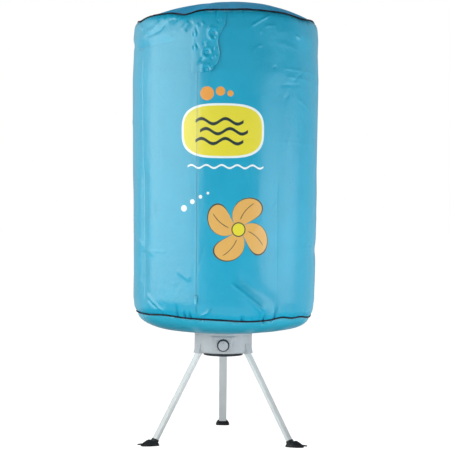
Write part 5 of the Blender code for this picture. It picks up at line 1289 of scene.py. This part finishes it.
def woven(name, colour, pale, roughness, grain):
    finish = Finish(name, colour, roughness)
    point, *_ = finish.place()
    threads = cross_threads(finish, point, grain, 0.25, 0.3)
    finish.feed("Normal", finish.bump(threads * 0.00012))
    finish.feed("Base Color", finish.blend(finish.ramp(threads, -0.4, 0.4), colour, pale))
    finish.feed("Roughness", roughness + threads * 0.1)
    return finish


# the tape and its teeth are painted paler than the cover: painted light that lifts the shade in the gap between the
# hems
tape_painted_pale = woven("zip_tape_woven", rgb(58, 166, 200), rgb(78, 184, 214), 0.7, 700.0)
thread_finish = woven("thread_blue", rgb(58, 168, 204), rgb(96, 190, 216), 0.55, 1500.0)
print("trim finishes: 3")

# %% [markdown]
# ## Moulded plastic and metal
# The heater's shells are silver-grey plastic with a fine moulded grain. The legs are drawn tube with a satin coat,
# whose faint lines run along it. Both kinds start from the same recipe with other numbers: a grain in the bump, a
# cloudy change in roughness, and a colour that darkens a little where hands and dust reach.


# %% Recipes for hard finishes
def moulded(name, colour, roughness, grain=420.0, depth=0.00006, wear=0.10, **uniform):
    finish = Finish(name, colour, roughness, **uniform)
    point, *_ = finish.place()
    finish.feed("Normal", finish.bump(finish.noise(point, grain, 2.0) * depth + finish.noise(point, 30.0) * 0.0002))
    cloud = finish.ramp(finish.noise(point, 22.0, 4.0, 0.6), -0.2, 0.25)
    dark = tuple(channel * (1.0 - wear) for channel in colour)
    finish.feed("Base Color", finish.blend(cloud, dark, colour))
    finish.feed("Roughness", roughness + finish.noise(point, 60.0, 3.0) * 0.14)
    return finish


def drawn_metal(name, colour, roughness, stretch, metallic=1.0, grain=260.0):
    finish = Finish(name, colour, roughness, metallic)
    point, *_ = finish.place()
    lines = finish.noise(point, grain, 2.0, 0.6, stretch)
    finish.feed("Normal", finish.bump(lines * 0.00004 + finish.noise(point, 45.0) * 0.00008))
    finish.feed("Roughness", roughness + lines * 0.16 + finish.noise(point, 18.0, 3.0) * 0.08)
    tone = finish.ramp(finish.noise(point, 14.0, 3.0) + lines * 0.3, -0.3, 0.3)
    finish.feed("Base Color", finish.blend(tone, tuple(channel * 0.92 for channel in colour), colour))
    return finish


print("made: recipes for", moulded.__name__, "and", drawn_metal.__name__)

# %% Finishes of the hard pieces
FINISHES = {
    "housing_grey": moulded("housing_silver", rgb(186, 193, 198), 0.36, **{"Specular IOR Level": 0.6}),
    "dark_plastic": moulded("dark_plastic", rgb(52, 58, 66), 0.45),
    "knob_grey": moulded("knob_silver", rgb(190, 196, 202), 0.33, grain=700.0),
    "white_plastic": moulded("white_plastic", rgb(206, 208, 206), 0.42),
    "rack_plastic": moulded("rack_plastic", rgb(196, 200, 202), 0.44),
    "aluminium": drawn_metal("satin_tube", rgb(230, 236, 238), 0.42, (1, 1, 0.02), 0.12),
    "steel": drawn_metal("steel", rgb(176, 178, 180), 0.34, (1, 0.1, 1)),
    "motor_metal": drawn_metal("motor_can", rgb(150, 152, 156), 0.40, (0.1, 0.1, 1)),
    "heater_fins": drawn_metal("heater_fins", rgb(168, 158, 146), 0.48, (1, 1, 0.1)),
    "foot_black": moulded("foot_rubber", rgb(34, 36, 40), 0.55, grain=300.0, depth=0.0001),
    "cover_cloth": plain_cloth,
    "piping": seam_black,
    "zip_tape": tape_painted_pale,
}
for subpart in frame["record"]["subparts"]:
    mesh = nodes[subpart["node"]].data
    mesh.materials.clear()
    mesh.materials.append(FINISHES[subpart["material_slot"]].material)
# the zip's slider and pull are enamelled blue, painted paler than the cover as painted light, so that their shaded
# sides read like the cover
slider_enamel_with_painted_light = moulded("zip_slider_enamel", rgb(96, 192, 220), 0.34, grain=900.0)
for name in ("zip_slider", "zip_pull"):
    nodes[name].data.materials[0] = slider_enamel_with_painted_light.material
print("finishes on hard pieces:", len(FINISHES))

# %% [markdown]
# ## Putting it on the frame
# Every new piece now gets its finish and rides on a body, so that it follows the joints. Parenting each by hand
# would do the same, but one call also hides the solid that a piece stands for.

# %% Dress the frame
dress(wall, printed, "cover_cloth", "cover_wall")
dress(cap, cap_cloth_painted_brighter, "cover_cloth", "cover_top")
dress(belly, belly_cloth_painted_bounce, "cover_cloth", "cover_bottom")
dress(flap, plain_cloth, "cover_cloth", "door_flap")
dress(top_cord, seam_black, "piping", "top_piping")
dress(bottom_cord, seam_black, "piping", "bottom_piping")
dress(zip_tape, tape_painted_pale, "zip_tape", "zip_tape")
dress(zip_teeth, tape_painted_pale, "zip_tape")
for piece in threads:
    dress(piece, thread_finish, "cover_cloth")
for piece in studs:
    dress(piece, plain_cloth, "cover_cloth")
for name, (shoe, collar) in shoes.items():
    dress(shoe, FINISHES["foot_black"], "foot_black", "foot_" + name, body="leg_" + name)
    dress(collar, FINISHES["foot_black"], "foot_black", body="leg_" + name)
dress(marks, FINISHES["dark_plastic"], "dark_plastic")
dress(pointer, FINISHES["dark_plastic"], "knob_grey", body="timer_knob")
for piece in screws:
    dress(piece, FINISHES["steel"], "steel")

# %% [markdown]
